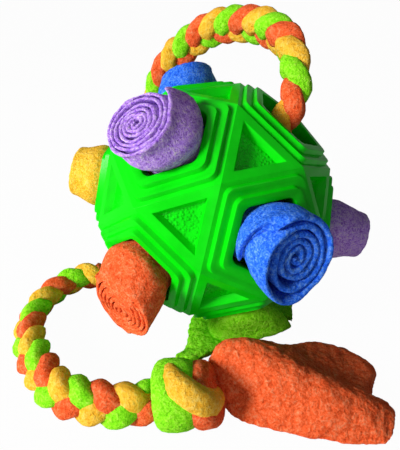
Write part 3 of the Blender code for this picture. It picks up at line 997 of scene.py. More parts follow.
    def build(self) -> bpy.types.Object:
        """Build and dress the roll.

        Returns:
            The roll, riding on its own body.
        """
        name = self.window.name.lower()
        section, spiral = self.section(), self.spiral()
        log.info("%s: %d places in the strip", name, len(spiral))
        verts = [self.place(angle, radius + across, share, height)
                 for angle, radius, share in spiral for height, across in section]
        roll = mesh_object("fleece_roll_" + name, np.array(verts),
                           tube_faces(0, len(spiral), len(section)))
        roll.data.transform(Matrix.Translation(SIZES.centre()) @ self.aim().to_4x4())
        self.sag(roll)
        face_outward(roll)
        soften(roll, 1)
        seed = list(Window).index(self.window) + 1
        add_nap(roll, *self.ripple, seed)
        add_nap(roll, *self.tufts, seed + 20)
        self.flatten(roll)
        roll.data.materials.append(self.colour.dress())
        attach(roll, "roll_" + name + "_body")
        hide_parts("roll_" + name)
        return roll

    def sag(self, roll: bpy.types.Object) -> None:
        """Let the part outside the window lean, more towards its end.

        Args:
            roll: the roll, in its place.
        """
        axis, lean = SIZES.direction(self.window), Vector(self.lean)
        for vert in roll.data.vertices:
            share = self.beyond_mouth((vert.co - SIZES.centre()).dot(axis))
            if share > 0:
                vert.co += lean * min(share, 1.2) ** 1.5

    def flatten(self, roll: bpy.types.Object) -> None:
        """Press what would reach below the floor flat on it.

        Args:
            roll: the roll, in its place.
        """
        if not self.floor_flat:
            return
        for vert in roll.data.vertices:
            if vert.co.z < self.pressed:
                sunk = math.exp((vert.co.z - self.pressed) / self.pressed_fade)
                vert.co.z = 0.9 * self.pressed * sunk + FLOOR_GAP / 2


def all_rolls() -> list[FleeceRoll]:
    """The nine stuffed windows, each roll as it sits in the photograph.

    Returns:
        The rolls.
    """
    c = FleeceColour
    return [
        FleeceRoll(Window.TOP_LEFT, c.PURPLE, 1.17, (0.30, 0.5, 0.85), swell=1.25, taper=0.26,
                   dome=0.002, lean=(-0.005, -0.002, -0.003), oval=0.05, flap=0.0022,
                   loosen=0.0022, loosen_to=(-0.4, 0.3, 0.9), pitch=0.0021, thickness=0.0019),
        FleeceRoll(Window.FRONT, c.BLUE, 1.245, (-0.55, 0.0, 0.85), swell=1.16, taper=0.05,
                   dome=-0.003, lean=(0.002, 0.0, -0.003), oval=0.06, oval_to=(0.35, 0.0, 1.0),
                   flap=0.0030, slant=95.0, loosen=0.0035, loosen_to=(-1.0, 0.0, -0.5),
                   pitch=0.0029, thickness=0.0025),
        FleeceRoll(Window.FRONT_LEFT, c.ORANGE, 1.20, (0.6, 0.5, -0.6), swell=1.24, taper=0.12,
                   dome=0.002, lean=(0.002, 0.0, -0.008), slope=-0.07, slope_to=(0.2, -0.2, 1.0),
                   pitch=0.0022, thickness=0.0021),
        FleeceRoll(Window.TOP_BACK, c.BLUE, 1.12, (0.5, 0.8, 0.0), swell=1.20, taper=0.24,
                   dome=0.006, lean=(0.002, 0.0, 0.0)),
        FleeceRoll(Window.LEFT, c.YELLOW, 1.165, (0.0, 0.8, -0.6), swell=1.17, taper=0.26,
                   dome=0.005),
        FleeceRoll(Window.RIGHT, c.PURPLE, 1.255, (0.0, 0.7, -0.7), swell=1.14, taper=0.30,
                   dome=0.006),
        FleeceRoll(Window.BASE_FRONT, c.LIME, 1.22, (0.3, 0.9, 0.0), swell=1.20, taper=0.12,
                   oval=0.32, oval_to=(1.0, 0.0, 0.0), lean=(0.0055, 0.0035, 0.0), floor_flat=True),
        FleeceRoll(Window.BASE_BACK, c.YELLOW, 1.22, (0.0, -1.0, 0.0), taper=0.0, floor_flat=True),
        FleeceRoll(Window.BACK_RIGHT, c.LIME, 1.23, (1.0, 0.0, 0.6), dome=0.002, flap=0.002),
    ]


# Rope


def smooth_place(before: Vector, start: Vector, end: Vector, after: Vector, share: float) -> Vector:
    """Place on the smooth curve between two of its points.

    Args:
        before: the point before the stretch.
        start: where the stretch starts.
        end: where it ends.
        after: the point after it.
        share: how far along the stretch.

    Returns:
        The place.
    """
    knots = [0.0]
    for one, other in ((before, start), (start, end), (end, after)):
        knots.append(knots[-1] + math.sqrt((other - one).length))
    at = knots[1] + share * (knots[2] - knots[1])

    def mix(one: Vector, other: Vector, low: float, high: float) -> Vector:
        """Mix two places by where the knot value lies."""
        return one + (other - one) * ((at - low) / (high - low))

    first = mix(before, start, knots[0], knots[1])
    second = mix(start, end, knots[1], knots[2])
    third = mix(end, after, knots[2], knots[3])
    return mix(mix(first, second, knots[0], knots[2]), mix(second, third, knots[1], knots[3]),
               knots[1], knots[2])


@dataclass
class BraidRun:
    """A stretch of braid.

    Attributes:
        line: its middle line, as even places.
        across: the braid's wide direction at each place.
        start: length of rope before it, which keeps the plait in step.
        pinch: how wide the braid is at its two ends, as a share.
        gather: how much more of one row shows than of the other, on a bend.
    """

    line: list[Vector]
    across: list[Vector]
    start: float
    pinch: tuple[float, float] = (1.0, 1.0)
    gather: float = 0.0


@dataclass
class BraidedRope:
    """A three-strand braid of lime, orange and yellow fleece strips.

    The places of the handle, the lead and the end knot are in ball radii from the ball's middle.
    """

    width: float = 0.0195
    bend: float = 0.040
    bend_steps: int = 4
    plait: float = 0.0360
    swing: float = 0.0047
    weave: float = 0.0024
    strand_wide: float = 0.0054
    strand_thick: float = 0.0048
    strand_corners: int = 14
    plump: float = 0.03
    uneven: float = 0.02
    fullness: float = 0.62
    ripple: tuple[float, float] = (4.5, 0.9)
    tufts: tuple[float, float] = (1.6, 0.5)
    pinch_length: float = 0.012
    run_on: float = 0.003
    core_reach: float = 0.030
    lead_step: float = 0.0135
    line_step: float = 0.0012
    curve_steps: int = 16
    knot_radius: float = 0.0175
    stopper_radius: float = 0.019
    knot_gap: float = 0.0003
    arrival: float = math.radians(12)
    knot_share: tuple[float, float] = (-0.235, -1.24)
    handle_side: Place = (-0.76, -0.59, -0.22)
    core_side: Place = (-0.33, -0.94, 0.11)
    lead_tip: float = -1.6
    handle: tuple[Place, ...] = (
        (-0.492, 1.135, -0.175), (-0.575, 1.388, 0.022), (-0.60, 1.505, 0.25),
        (-0.585, 1.48, 0.48), (-0.545, 1.42, 0.65), (-0.465, 1.37, 0.82), (-0.335, 1.33, 0.98),
        (-0.17, 1.28, 1.12), (0.02, 1.15, 1.235), (0.21, 0.98, 1.285), (0.37, 0.78, 1.30),
        (0.49, 0.55, 1.275), (0.58, 0.31, 1.20), (0.605, 0.12, 1.06), (0.595, -0.01, 0.87),
    )
    lead: tuple[tuple[float, float], ...] = (
        (-1.21, 0.137), (-1.34, 0.09), (-1.465, -0.02), (-1.56, -0.18), (-1.61, -0.39),
        (-1.585, -0.61), (-1.49, -0.83), (-1.34, -1.03), (-1.15, -1.215),
    )

    def knot_middle(self) -> Vector:
        """Place the end knot.

        Returns:
            Its middle, above the floor by its radius.
        """
        centre = SIZES.centre()
        return Vector((centre.x + self.knot_share[0] * SIZES.radius,
                       centre.y + self.knot_share[1] * SIZES.radius, self.knot_radius))

    def stopper_middle(self) -> Vector:
        """Seat the knot inside the ball on the edges of its window.

        Returns:
            Its middle.
        """
        reach = math.sqrt((self.stopper_radius + self.knot_gap) ** 2 - SIZES.window_apothem**2)
        distance = SIZES.pentagon_distance(SIZES.hollow_radius()) - reach
        return SIZES.centre() + SIZES.direction(Window.BACK_LEFT) * distance

    def flat(self, radius: float) -> float:
        """Distance from a knot's middle to where the rope meets it."""
        return math.sqrt(radius**2 - (self.width / 2) ** 2)

    def floor_height(self) -> float:
        """Height of the middle line on the floor."""
        return self.width / 2 * math.cos(math.pi / 10)

    def leaving(self) -> list[Vector]:
        """Lead the rope out of the ball and round onto the floor.

        Returns:
            Places of the bend and of a short level stretch after it.
        """
        direction = SIZES.direction(Window.BASE_LEFT)
        level = Vector((direction.x, direction.y, 0)).normalized()
        slope = math.asin(-direction.z)
        rise = level * math.sin(slope) + Vector((0, 0, 1)) * math.cos(slope)
        drop = self.bend * (1 - math.cos(slope))
        start = (SIZES.middle[2] - self.floor_height() - drop) / math.sin(slope)
        first = SIZES.centre() + direction * start
        places = []
        for step in range(self.bend_steps + 1):
            angle = slope * step / self.bend_steps
            along = direction * math.sin(angle) + rise * (1 - math.cos(angle))
            places.append(first + self.bend * along)
        for _ in range(2):
            places.append(places[-1] + level * self.run_on)
        return places

    def route(self) -> tuple[list[Vector], int, int]:
        """Places of the whole rope.

        Returns:
            The places, and which of them end the handle and the core.
        """
        centre, out = SIZES.centre(), SIZES.direction(Window.BACK_LEFT)
        through = SIZES.direction(Window.TOP_RIGHT)
        start = self.stopper_middle() + out * (self.flat(self.stopper_radius) + self.knot_gap)
        places = [start + out * self.run_on * step for step in range(3)]
        places += [centre + SIZES.radius * Vector(shares) for shares in self.handle]
        handle_last = len(places) + 1
        inside = (SIZES.pentagon_distance(SIZES.hollow_radius()), self.core_reach, 0.0,
                  -self.core_reach)
        places += [centre + through * distance for distance in inside]
        places += self.leaving()
        core_last = len(places) - 1
        for x, y in self.lead:
            place = centre + SIZES.radius * Vector((x, y, 0))
            places.append(Vector((place.x, place.y, self.floor_height())))
        arrival = Vector((math.cos(self.arrival), math.sin(self.arrival), 0))
        reach = self.flat(self.knot_radius) + self.knot_gap
        for distance in (reach + self.lead_step, reach):
            place = self.knot_middle() - arrival * distance
            places.append(Vector((place.x, place.y, self.floor_height())))
        return places, handle_last, core_last

    def line(self, places: list[Vector], first: int, last: int) -> list[Vector]:
        """Smooth curve through a stretch of the route.

        Args:
            places: the whole route.
            first: number of the place where the stretch starts.
            last: number of the place where it ends.

        Returns:
            Even places along the curve.
        """
        padded = [2 * places[0] - places[1], *places, 2 * places[-1] - places[-2]]
        close = [smooth_place(*padded[at:at + 4], step / self.curve_steps)
                 for at in range(first, last) for step in range(self.curve_steps)]
        close.append(places[last])
        lengths = [0.0]
        for one, other in zip(close, close[1:]):
            lengths.append(lengths[-1] + (other - one).length)
        count = round(lengths[-1] / self.line_step)
        even, at = [], 0
        for number in range(count + 1):
            wanted = lengths[-1] * number / count
            while at < len(lengths) - 2 and lengths[at + 1] < wanted:
                at += 1
            share = (wanted - lengths[at]) / (lengths[at + 1] - lengths[at])
            even.append(close[at].lerp(close[at + 1], share))
        return even

    def sides(self, line: list[Vector], start_side: Vector, end_side: Vector) -> list[Vector]:
        """The direction across the braid at each place.

        Args:
            line: the middle line.
            start_side: across the braid at its start.
            end_side: across the braid at its end.

        Returns:
            Unit vectors square to the line, turning evenly from one side to the other.
        """
        along = [tangent_at(line, at) for at in range(len(line))]
        carried, side = [], start_side
        for tangent in along:
            side = (side - tangent * side.dot(tangent)).normalized()
            carried.append(side)
        wanted = (end_side - along[-1] * end_side.dot(along[-1])).normalized()
        left = math.atan2(along[-1].dot(carried[-1].cross(wanted)), carried[-1].dot(wanted))
        turned = []
        for at, (tangent, side) in enumerate(zip(along, carried)):
            turned.append(Matrix.Rotation(left * at / (len(line) - 1), 3, tangent) @ side)
        return turned

    def weaving(self, run: BraidRun, strand: int) -> list[tuple[Vector, Vector, float, float]]:
        """Weave one strand's middle line through the braid.

        Args:
            run: the stretch of braid.
            strand: which of the three strands.

        Returns:
            At each place the strand's middle, the braid's thin direction, how far on the plait is
            and how wide the braid is.
        """
        spacing = (run.line[1] - run.line[0]).length
        last = len(run.line) - 1
        way = []
        for at, place in enumerate(run.line):
            normal = tangent_at(run.line, at).cross(run.across[at]).normalized()
            phase = 2 * math.pi * ((run.start + at * spacing) / self.plait + strand / 3)
            from_end = min(at, last - at) * spacing / self.pinch_length
            near = run.pinch[0] if at < len(run.line) / 2 else run.pinch[1]
            tight = near + (1 - near) * smoothstep(from_end)
            x = self.swing * math.sin(phase)
            y = self.weave * math.cos(phase) * (2 * math.sin(phase) + run.gather)
            y /= 1 + run.gather / 2
            way.append((place + (run.across[at] * x + normal * y) * tight, normal, phase, tight))
        return way

    def strand_points(self, way: list[tuple[Vector, Vector, float, float]],
                      strand: int) -> list[Vector]:
        """Rings of points round one strand.

        Args:
            way: what weaving returns.
            strand: which of the three strands.

        Returns:
            The points, ring by ring.
        """
        middles = [step[0] for step in way]
        points = []
        for at, (middle, normal, phase, tight) in enumerate(way):
            tangent = tangent_at(middles, at)
            wide = normal.cross(tangent).normalized()
            thin = tangent.cross(wide).normalized()
            # A strand is plump where it lies on top and nipped where it dives under
            full = 1 + self.plump * math.cos(2 * phase + math.pi)
            full = (full + self.uneven * math.sin(phase * 7 + strand)) * tight
            for corner in range(self.strand_corners):
                angle = 2 * math.pi * corner / self.strand_corners
                # Pressed against its neighbours, a strand is fuller than an ellipse
                c, s = math.cos(angle), math.sin(angle)
                u = self.strand_wide * math.copysign(abs(c) ** self.fullness, c) * full
                v = self.strand_thick * math.copysign(abs(s) ** self.fullness, s) * full
                points.append(middle + wide * u + thin * v)
        return points

    def braid(self, name: str, run: BraidRun) -> bpy.types.Object:
        """Weave the three strands round a middle line.

        Args:
            name: the piece's name.
            run: the stretch of braid.

        Returns:
            The braid as one piece with three fleeces.
        """
        verts, faces, owners = [], [], []
        for strand in range(3):
            tube = tube_faces(len(verts), len(run.line), self.strand_corners)
            faces += tube
            owners += [strand] * len(tube)
            verts += self.strand_points(self.weaving(run, strand), strand)
        rope = mesh_object(name, np.array(verts), faces)
        for colour in (FleeceColour.YELLOW, FleeceColour.ORANGE, FleeceColour.LIME):
            rope.data.materials.append(colour.dress())
        rope.data.polygons.foreach_set("material_index", owners)
        face_outward(rope)
        add_nap(rope, *self.ripple, len(name))
        add_nap(rope, *self.tufts, len(name) + 7)
        return rope

    def build(self) -> tuple[list[bpy.types.Object], list[Vector], float]:
        """Build and dress the handle, the core and the free lead.

        Returns:
            The three pieces, and the lead's middle line and length.
        """
        places, handle_last, core_last = self.route()
        handle = self.line(places, 0, handle_last)
        core = self.line(places, handle_last, core_last)
        lead = self.line(places, core_last, len(places) - 1)
        lengths = [sum((b - a).length for a, b in zip(run, run[1:])) for run in (handle, core, lead)]
        side_in = Vector(self.core_side)
        up = Vector((0, 0, 1))
        level = (lead[1] - lead[0]).cross(up).normalized()
        last = (lead[-1] - lead[-2]).cross(up).normalized()
        # The lead lies on its outer row, and its inner row stands higher
        tip = up * self.lead_tip
        runs = {
            "rope_handle": BraidRun(handle, self.sides(handle, Vector(self.handle_side), side_in),
                                    0.0, (0.9, 1.0), 0.7),
            "rope_core": BraidRun(core, self.sides(core, side_in, level), lengths[0]),
            "rope_lead": BraidRun(lead, self.sides(lead, level + tip, last + tip),
                                  lengths[0] + lengths[1], (1.0, 0.92)),
        }
        pieces = []
        for node, run in runs.items():
            piece = self.braid(node + "_braid", run)
            if node == "rope_lead":
                lift_to(piece, FLOOR_GAP)
            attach(piece, "ball")
            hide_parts(node)
            pieces.append(piece)
        log.info("rope lengths: %s", [round(n, 4) for n in lengths])
        return pieces, lead, lengths[2]


# Knots


@dataclass
class WrapBand:
    """One strip of fleece that goes once round a knot: its axis, its place and its half sizes."""

    colour: FleeceColour
    axis: Place
    shift: Place
    ring: float
    width: float
    thick: float


@dataclass
class Knot:
    """An overhand knot of the three strips: plump bands over one another round a full middle."""

    name: str
    node: str
    middle: Vector
    bands: list[WrapBand]
    floor_gap: float = 0.0004
    flatness: float = 0.5
    border: float = 0.75
    tightness: float = 0.12
    ripple: tuple[float, float] = (9.0, 1.6)
    tufts: tuple[float, float] = (1.8, 0.45)

    def shape(self, band: bpy.types.Object, spec: WrapBand) -> None:
        """Make a ring's round section a strip's: nearly flat, and pulled tight at its borders.

        Args:
            band: the ring, about the origin.
            spec: its sizes.
        """
        for vert in band.data.vertices:
            out = math.hypot(vert.co.x, vert.co.y)
            across = (out - spec.ring) / spec.thick
            along = vert.co.z / spec.width
            full = spec.ring + spec.thick * math.copysign(abs(across) ** self.flatness, across)
            pull = (1 - self.tightness * abs(along) ** 2.5) * full / out
            vert.co.x *= pull
            vert.co.y *= pull
            vert.co.z = spec.width * math.copysign(abs(along) ** self.border, along)

    def band(self, number: int, spec: WrapBand) -> bpy.types.Object:
        """One closed band.

        Args:
            number: its place in the knot.
            spec: its sizes.

        Returns:
            The band in place.
        """
        bpy.ops.object.select_all(action="DESELECT")
        bpy.ops.mesh.primitive_torus_add(
            major_radius=spec.ring, minor_radius=spec.thick, major_segments=56, minor_segments=20)
        band = new_primitive(f"{self.name}_band_{number}")
        bpy.ops.object.mode_set(mode="EDIT")
        bpy.ops.mesh.select_all(action="SELECT")
        bpy.ops.transform.resize(value=(1.0, 1.0, spec.width / spec.thick))
        bpy.ops.object.mode_set(mode="OBJECT")
        self.shape(band, spec)
        axis = Vector(spec.axis).normalized()
        side = Vector((0, 0, 1)) if abs(axis.z) < 0.8 else Vector((1, 0, 0))
        aim = frame_along(axis, side).to_4x4()
        band.data.transform(Matrix.Translation(self.middle + Vector(spec.shift)) @ aim)
        band.data.shade_smooth()
        add_nap(band, *self.ripple, number + 31)
        add_nap(band, *self.tufts, number + 41)
        band.data.materials.append(spec.colour.dress())
        return band

    def build(self) -> list[bpy.types.Object]:
        """Build and dress the knot.

        Returns:
            Its bands.
        """
        pieces = [self.band(number, spec) for number, spec in enumerate(self.bands)]
        for piece, spec in zip(pieces, self.bands):
            lift_to(piece, self.floor_gap)
            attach(piece, "ball")
        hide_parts(self.node)
        return pieces


def end_knot(middle: Vector) -> Knot:
    """The knot on the floor: a wide lime band, a yellow band across it and orange behind.

    Args:
        middle: where the rope's route has its middle.

    Returns:
        The knot, sunk a little towards the floor.
    """
    c = FleeceColour
    settled = middle + Vector((0.0012, -0.0035, -0.0026))
    return Knot("end_knot", "end_knot", settled, [
        WrapBand(c.LIME, (1.0, 0.06, 0.06), (-0.0046, 0.0, -0.0004), 0.0104, 0.0104, 0.0058),
        WrapBand(c.YELLOW, (0.50, 0.56, 0.66), (0.0020, 0.0004, 0.0034), 0.0124, 0.0062, 0.0044),
        WrapBand(c.ORANGE, (0.90, -0.06, 0.42), (0.0080, 0.0, -0.0008), 0.0102, 0.0066, 0.0050),
        WrapBand(c.ORANGE, (0.2, 1.0, 0.3), (0.003, 0.0, -0.001), 0.0058, 0.0085, 0.0060),
    ])


def stopper_knot(middle: Vector) -> Knot:
    """The knot inside the ball, which the window's edges hold.

    Args:
        middle: its middle.

    Returns:
        The knot.
    """
    c, out = FleeceColour, SIZES.direction(Window.BACK_LEFT)
    return Knot("stopper_knot", "stopper_knot", middle, [
        WrapBand(c.ORANGE, tuple(out), (0.0, 0.0, 0.0), 0.0125, 0.0090, 0.0055),
        WrapBand(c.YELLOW, (0.4, 0.7, 0.6), (0.0, 0.0, 0.0), 0.0120, 0.0065, 0.0052),
        WrapBand(c.LIME, (-0.6, 0.3, 0.7), (0.0, 0.0, 0.0), 0.0115, 0.0065, 0.0052),
    ])


# Tails


@dataclass
class Tail:
    """A loose end of fleece past the end knot, lying in its own folds."""

    name: str
    node: str
    colour: FleeceColour
    rows: list[list[Vector]]
    flat: tuple[float, float]
    rests_on: tuple[str, ...]
    held: str = "laid"
    thickness: float = 0.0034
    border_crease: float = 0.8
    ripple: tuple[float, float] = (10.0, 2.16)
    crinkle: tuple[float, float] = (3.0, 1.08)

    def sheet(self) -> bpy.types.Object:
        """Make the coarse cloth through the rows.

        Returns:
            The cloth without thickness, its upper side up.
        """
        verts = [place for row in self.rows for place in row]
        wide = len(self.rows[0])
        faces = []
        for at in range(len(self.rows) - 1):
            for side in range(wide - 1):
                a = at * wide + side
                faces.append((a, a + wide, a + wide + 1, a + 1))
        sheet = mesh_object(self.name, np.array(verts), faces)
        if sum(face.normal.z for face in sheet.data.polygons) < 0:
            sheet.data.flip_normals()
        return sheet

    def crease_border(self, sheet: bpy.types.Object) -> None:
        """Let the cut borders keep their corners while the folds between them are soft.

        Args:
            sheet: the coarse cloth.
        """
        bm = bmesh.new()
        bm.from_mesh(sheet.data)
        border = bm.edges.layers.float.new("crease_edge")
        for edge in bm.edges:
            if edge.is_boundary:
                edge[border] = self.border_crease
        bm.to_mesh(sheet.data)
        bm.free()

    def build(self) -> bpy.types.Object:
        """Build and dress the tail.

        Returns:
            The sheet of cloth.
        """
        tail = self.sheet()
        self.crease_border(tail)
        soften(tail, 3)
        body = tail.modifiers.new("cloth", "SOLIDIFY")
        body.thickness = self.thickness
        body.offset = 1
        apply_modifiers(tail)
        soften(tail, 1)
        add_nap(tail, *self.ripple, 51)
        add_nap(tail, *self.crinkle, 61)
        lift_to(tail, FLOOR_GAP)
        tail.data.materials.append(self.colour.dress())
        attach(tail, "ball")
        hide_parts(self.node)
        return tail


# Rows across the orange cloth, from the knot to its free end: shares of its reach, spread and rise
ORANGE_ROWS = (
    ((0.004, 0.07, 0.08), (-0.002, 0.10, 0.20), (-0.008, 0.14, 0.33), (-0.014, 0.18, 0.42),
     (-0.006, 0.25, 0.39), (0.0, 0.28, 0.33), (0.008, 0.32, 0.22), (0.023, 0.36, 0.12),
     (0.023, 0.37, 0.03)),
    ((0.058, 0.07, 0.0), (0.049, 0.09, 0.23), (0.036, 0.12, 0.47), (0.022, 0.19, 0.67),
     (0.01, 0.27, 0.78), (0.02, 0.32, 0.72), (0.036, 0.37, 0.50), (0.07, 0.39, 0.26), (0.08, 0.38, 0.06)),
    ((0.101, -0.01, 0.0), (0.109, 0.02, 0.17), (0.109, 0.10, 0.36), (0.097, 0.18, 0.60),
     (0.078, 0.32, 0.88), (0.095, 0.38, 0.80), (0.11, 0.41, 0.56), (0.145, 0.39, 0.30), (0.15, 0.37, 0.08)),
    ((0.167, -0.16, 0.0), (0.181, -0.09, 0.17), (0.187, 0.01, 0.39), (0.189, 0.14, 0.66),
     (0.187, 0.28, 0.90), (0.23, 0.37, 0.80), (0.26, 0.43, 0.62), (0.297, 0.42, 0.42), (0.297, 0.34, 0.10)),
    ((0.297, -0.20, 0.0), (0.29, -0.17, 0.20), (0.282, -0.10, 0.45), (0.273, 0.03, 0.69),
     (0.285, 0.16, 0.84), (0.335, 0.29, 0.72), (0.38, 0.42, 0.60), (0.441, 0.45, 0.44), (0.441, 0.36, 0.06)),
    ((0.439, -0.25, 0.0), (0.428, -0.23, 0.20), (0.425, -0.17, 0.42), (0.423, -0.07, 0.58),
     (0.436, 0.04, 0.74), (0.485, 0.17, 0.56), (0.54, 0.44, 0.44), (0.603, 0.70, 0.30), (0.61, 0.74, 0.0)),
    ((0.566, -0.32, 0.0), (0.557, -0.31, 0.20), (0.557, -0.25, 0.42), (0.571, -0.14, 0.52),
     (0.591, -0.03, 0.62), (0.64, 0.07, 0.36), (0.73, 0.40, 0.20), (0.825, 0.70, 0.11), (0.835, 0.73, 0.0)),
    ((0.70, -0.34, 0.0), (0.69, -0.33, 0.17), (0.69, -0.27, 0.36), (0.70, -0.17, 0.44),
     (0.72, -0.06, 0.48), (0.765, 0.02, 0.26), (0.87, 0.27, 0.14), (0.955, 0.50, 0.05), (0.96, 0.52, 0.0)),
    ((0.74, -0.345, 0.0), (0.73, -0.33, 0.16), (0.73, -0.27, 0.34), (0.74, -0.17, 0.42),
     (0.76, -0.07, 0.44), (0.80, 0.0, 0.24), (0.885, 0.20, 0.12), (0.955, 0.40, 0.03), (0.96, 0.41, 0.0)),
    ((0.80, -0.36, 0.0), (0.79, -0.33, 0.14), (0.795, -0.28, 0.30), (0.80, -0.19, 0.36),
     (0.81, -0.09, 0.36), (0.825, -0.03, 0.20), (0.84, 0.06, 0.07), (0.855, 0.14, 0.01), (0.86, 0.15, 0.0)),
    ((0.866, -0.37, 0.0), (0.869, -0.33, 0.11), (0.887, -0.25, 0.22), (0.893, -0.18, 0.26),
     (0.884, -0.10, 0.27), (0.885, -0.06, 0.18), (0.885, 0.0, 0.06), (0.89, 0.04, 0.01), (0.90, 0.05, 0.0)),
    ((0.905, -0.38, 0.0), (0.912, -0.31, 0.05), (0.928, -0.22, 0.12), (0.94, -0.15, 0.13),
     (0.94, -0.09, 0.13), (0.935, -0.05, 0.08), (0.93, 0.0, 0.02), (0.93, 0.02, 0.0), (0.935, 0.03, 0.0)),
)
# Rows across the lime cloth: at the knot, shares of its spread and rise, and from there on its
# places in ball radii from the ball's middle with a share of its rise
GREEN_ROOT = ((-0.08, 0.32), (0.02, 0.36), (0.13, 0.32))
GREEN_ROWS = (
    ((-0.21, -0.84, 0.18), (-0.10, -0.85, 0.30), (0.02, -0.86, 0.26)),
    ((-0.20, -0.62, 0.04), (-0.08, -0.64, 0.16), (0.08, -0.67, 0.12)),
    ((-0.20, -0.34, 0.0), (-0.09, -0.39, 0.0), (0.03, -0.44, 0.0)),
    ((-0.06, -0.10, 0.0), (0.03, -0.18, 0.0), (0.12, -0.26, 0.0)),
    ((0.22, 0.04, 0.0), (0.25, -0.07, 0.0), (0.28, -0.18, 0.0)),
    ((0.50, 0.02, 0.0), (0.50, -0.10, 0.0), (0.50, -0.22, 0.0)),
    ((0.70, -0.10, 0.0), (0.69, -0.22, 0.0), (0.68, -0.34, 0.0)),
    ((0.78, -0.14, 0.0), (0.76, -0.26, 0.0), (0.74, -0.38, 0.0)),
)


@dataclass
class TailSizes:
    """How the tails' rows are scaled, as the CAD model has them."""

    reach: float = 0.0855
    spread: float = 0.045
    rise: float = 0.032
    gap: float = 0.0007
    root: float = 0.004

    def orange(self, knot: Vector, flat: float) -> Tail:
        """The orange tail, which leaves the knot to the right.

        Args:
            knot: middle of the end knot.
            flat: distance from there to where a strip leaves it.

        Returns:
            The tail.
        """
        start = knot.x + flat + self.gap
        rows = [[Vector((start + a * self.reach, knot.y + b * self.spread, h * self.rise))
                 for a, b, h in row] for row in ORANGE_ROWS]
        return Tail("tail_orange_cloth", "tail_orange", FleeceColour.ORANGE, rows, (0.07, 0.086),
                    ("end_knot_band_0",), "draped")

    def lime(self, knot: Vector, flat: float) -> Tail:
        """The lime tail, which runs back from the knot and under the ball.

        Args:
            knot: middle of the end knot.
            flat: distance from there to where a strip leaves it.

        Returns:
            The tail.
        """
        start, centre = knot.y + flat + self.gap, SIZES.centre()
        rows = [[Vector((knot.x + b * self.spread, start + run, h * self.rise))
                 for b, h in GREEN_ROOT] for run in (0, self.root)]
        rows += [[Vector((centre.x + x * SIZES.radius, centre.y + y * SIZES.radius, h * self.rise))
                  for x, y, h in row] for row in GREEN_ROWS]
        return Tail("tail_lime_cloth", "tail_green", FleeceColour.LIME, rows, (0.016, 0.125),
                    ("end_knot_band_0",), "laid")


# Studio


@dataclass
class Lamp:
    """A soft square white lamp that faces the ball.

    Attributes:
        name: its name.
        place: from the ball's middle.
        side: its side.
        power: its watts.
    """

    name: str
    place: Place
    side: float
    power: float

    def build(self) -> None:
        """Add the lamp to the scene."""
        data = bpy.data.lights.new(self.name, "AREA")
        data.size = self.side
        data.energy = self.power
        lamp = bpy.data.objects.new(self.name, data)
        lamp.location = SIZES.centre() + Vector(self.place)
        lamp.rotation_euler = (-Vector(self.place)).to_track_quat("-Z", "Y").to_euler()
        bpy.context.scene.collection.objects.link(lamp)


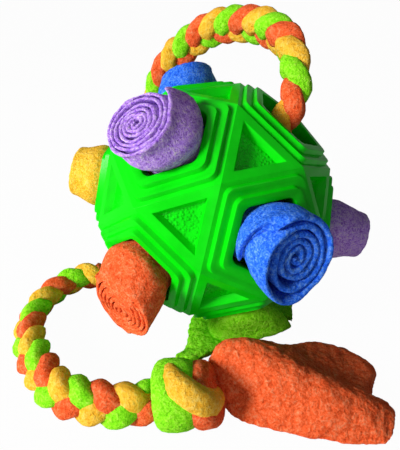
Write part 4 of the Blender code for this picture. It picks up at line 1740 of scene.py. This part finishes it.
@dataclass
class Studio:
    """Plain pale floor, soft light and the photograph's camera."""

    lens: float = 32.98
    sensor: float = 36.0
    tilt: float = 31.97
    camera_at: Place = (-0.1152, -3.1429, 1.7223)
    near: float = 0.005
    far: float = 20.0
    floor_side: float = 8.0
    paper: str = "C8C8C8"
    white_share: float = 0.975
    room_light: float = 0.11
    lamps: tuple[Lamp, ...] = (
        Lamp("key", (-0.76, -0.46, 0.38), 0.30, 12.0),
        Lamp("fill", (-0.10, -0.92, 0.08), 0.5, 1.2),
        Lamp("top", (-0.25, 0.2, 0.85), 0.5, 0.35),
    )

    def camera(self) -> None:
        """Place the camera where the photograph was taken."""
        data = bpy.data.cameras.new("camera")
        data.lens = self.lens
        data.sensor_width = self.sensor
        data.sensor_fit = "AUTO"
        data.clip_start = self.near
        data.clip_end = self.far
        camera = bpy.data.objects.new("camera", data)
        camera.location = SIZES.centre() + SIZES.radius * Vector(self.camera_at)
        camera.rotation_euler = (math.radians(90 - self.tilt), 0, 0)
        bpy.context.scene.collection.objects.link(camera)
        bpy.context.scene.camera = camera

    def seen(self, desk: NodeDesk) -> bpy.types.NodeSocket:
        """1 for the rays that have to meet a white ground.

        Args:
            desk: nodes of the floor or the room.

        Returns:
            The socket, which is 1 for camera, glossy and transmission rays.
        """
        path = desk.add("ShaderNodeLightPath")
        seen = path.outputs["Is Camera Ray"]
        for ray in ("Is Glossy Ray", "Is Transmission Ray"):
            seen = desk.add("ShaderNodeMath", {"operation": "MAXIMUM"}, i0=seen,
                            i1=path.outputs[ray]).outputs[0]
        return seen

    def floor(self) -> None:
        """A broad pale floor that keeps a faint shadow and otherwise shows white."""
        bpy.ops.object.select_all(action="DESELECT")
        bpy.ops.mesh.primitive_plane_add(size=self.floor_side, location=(0, 0, -FLOOR_GAP))
        floor = new_primitive("floor")
        desk = NodeDesk.for_material("seamless_paper")
        paper = desk.add("ShaderNodeBsdfDiffuse", Color=linear(self.paper))
        white = desk.add("ShaderNodeEmission", Color=WHITE, Strength=1.0)
        share = desk.add("ShaderNodeMath", {"operation": "MULTIPLY"}, i0=self.seen(desk),
                         i1=self.white_share)
        mixed = desk.add("ShaderNodeMixShader", i0=share.outputs[0], i1=paper.outputs[0],
                         i2=white.outputs[0])
        floor.data.materials.append(desk.close(mixed))

    def world(self) -> None:
        """Even room light, and white where nothing stands."""
        world = bpy.data.worlds.new("room")
        bpy.context.scene.world = world
        desk = NodeDesk(world, "ShaderNodeOutputWorld")
        room = desk.add("ShaderNodeBackground", Strength=self.room_light)
        white = desk.add("ShaderNodeBackground", Color=WHITE, Strength=1.0)
        mixed = desk.add("ShaderNodeMixShader", i0=self.seen(desk), i1=room.outputs[0],
                         i2=white.outputs[0])
        desk.close(mixed)

    def build(self) -> None:
        """Set up the camera, the lamps, the floor and the room."""
        bpy.context.scene.view_settings.view_transform = "Standard"
        self.camera()
        for lamp in self.lamps:
            lamp.build()
        self.floor()
        self.world()


def main() -> None:
    """Build every sub-assembly in order and report its pieces."""
    Studio().build()
    rope = BraidedRope()
    pieces, line, length = rope.build()
    knots = end_knot(rope.knot_middle()).build()
    pieces += knots + stopper_knot(rope.stopper_middle()).build()
    knot, flat = rope.knot_middle(), rope.flat(rope.knot_radius)
    specs = [TailSizes().orange(knot, flat), TailSizes().lime(knot, flat)]
    tails = [spec.build() for spec in specs]
    pieces += tails
    for roll in all_rolls():
        pieces.append(roll.build())
    pieces.append(Ball().build())
    for piece in pieces:
        log.info("%s: %d faces", piece.name, len(piece.data.polygons))


if __name__ == "__main__":
    main()
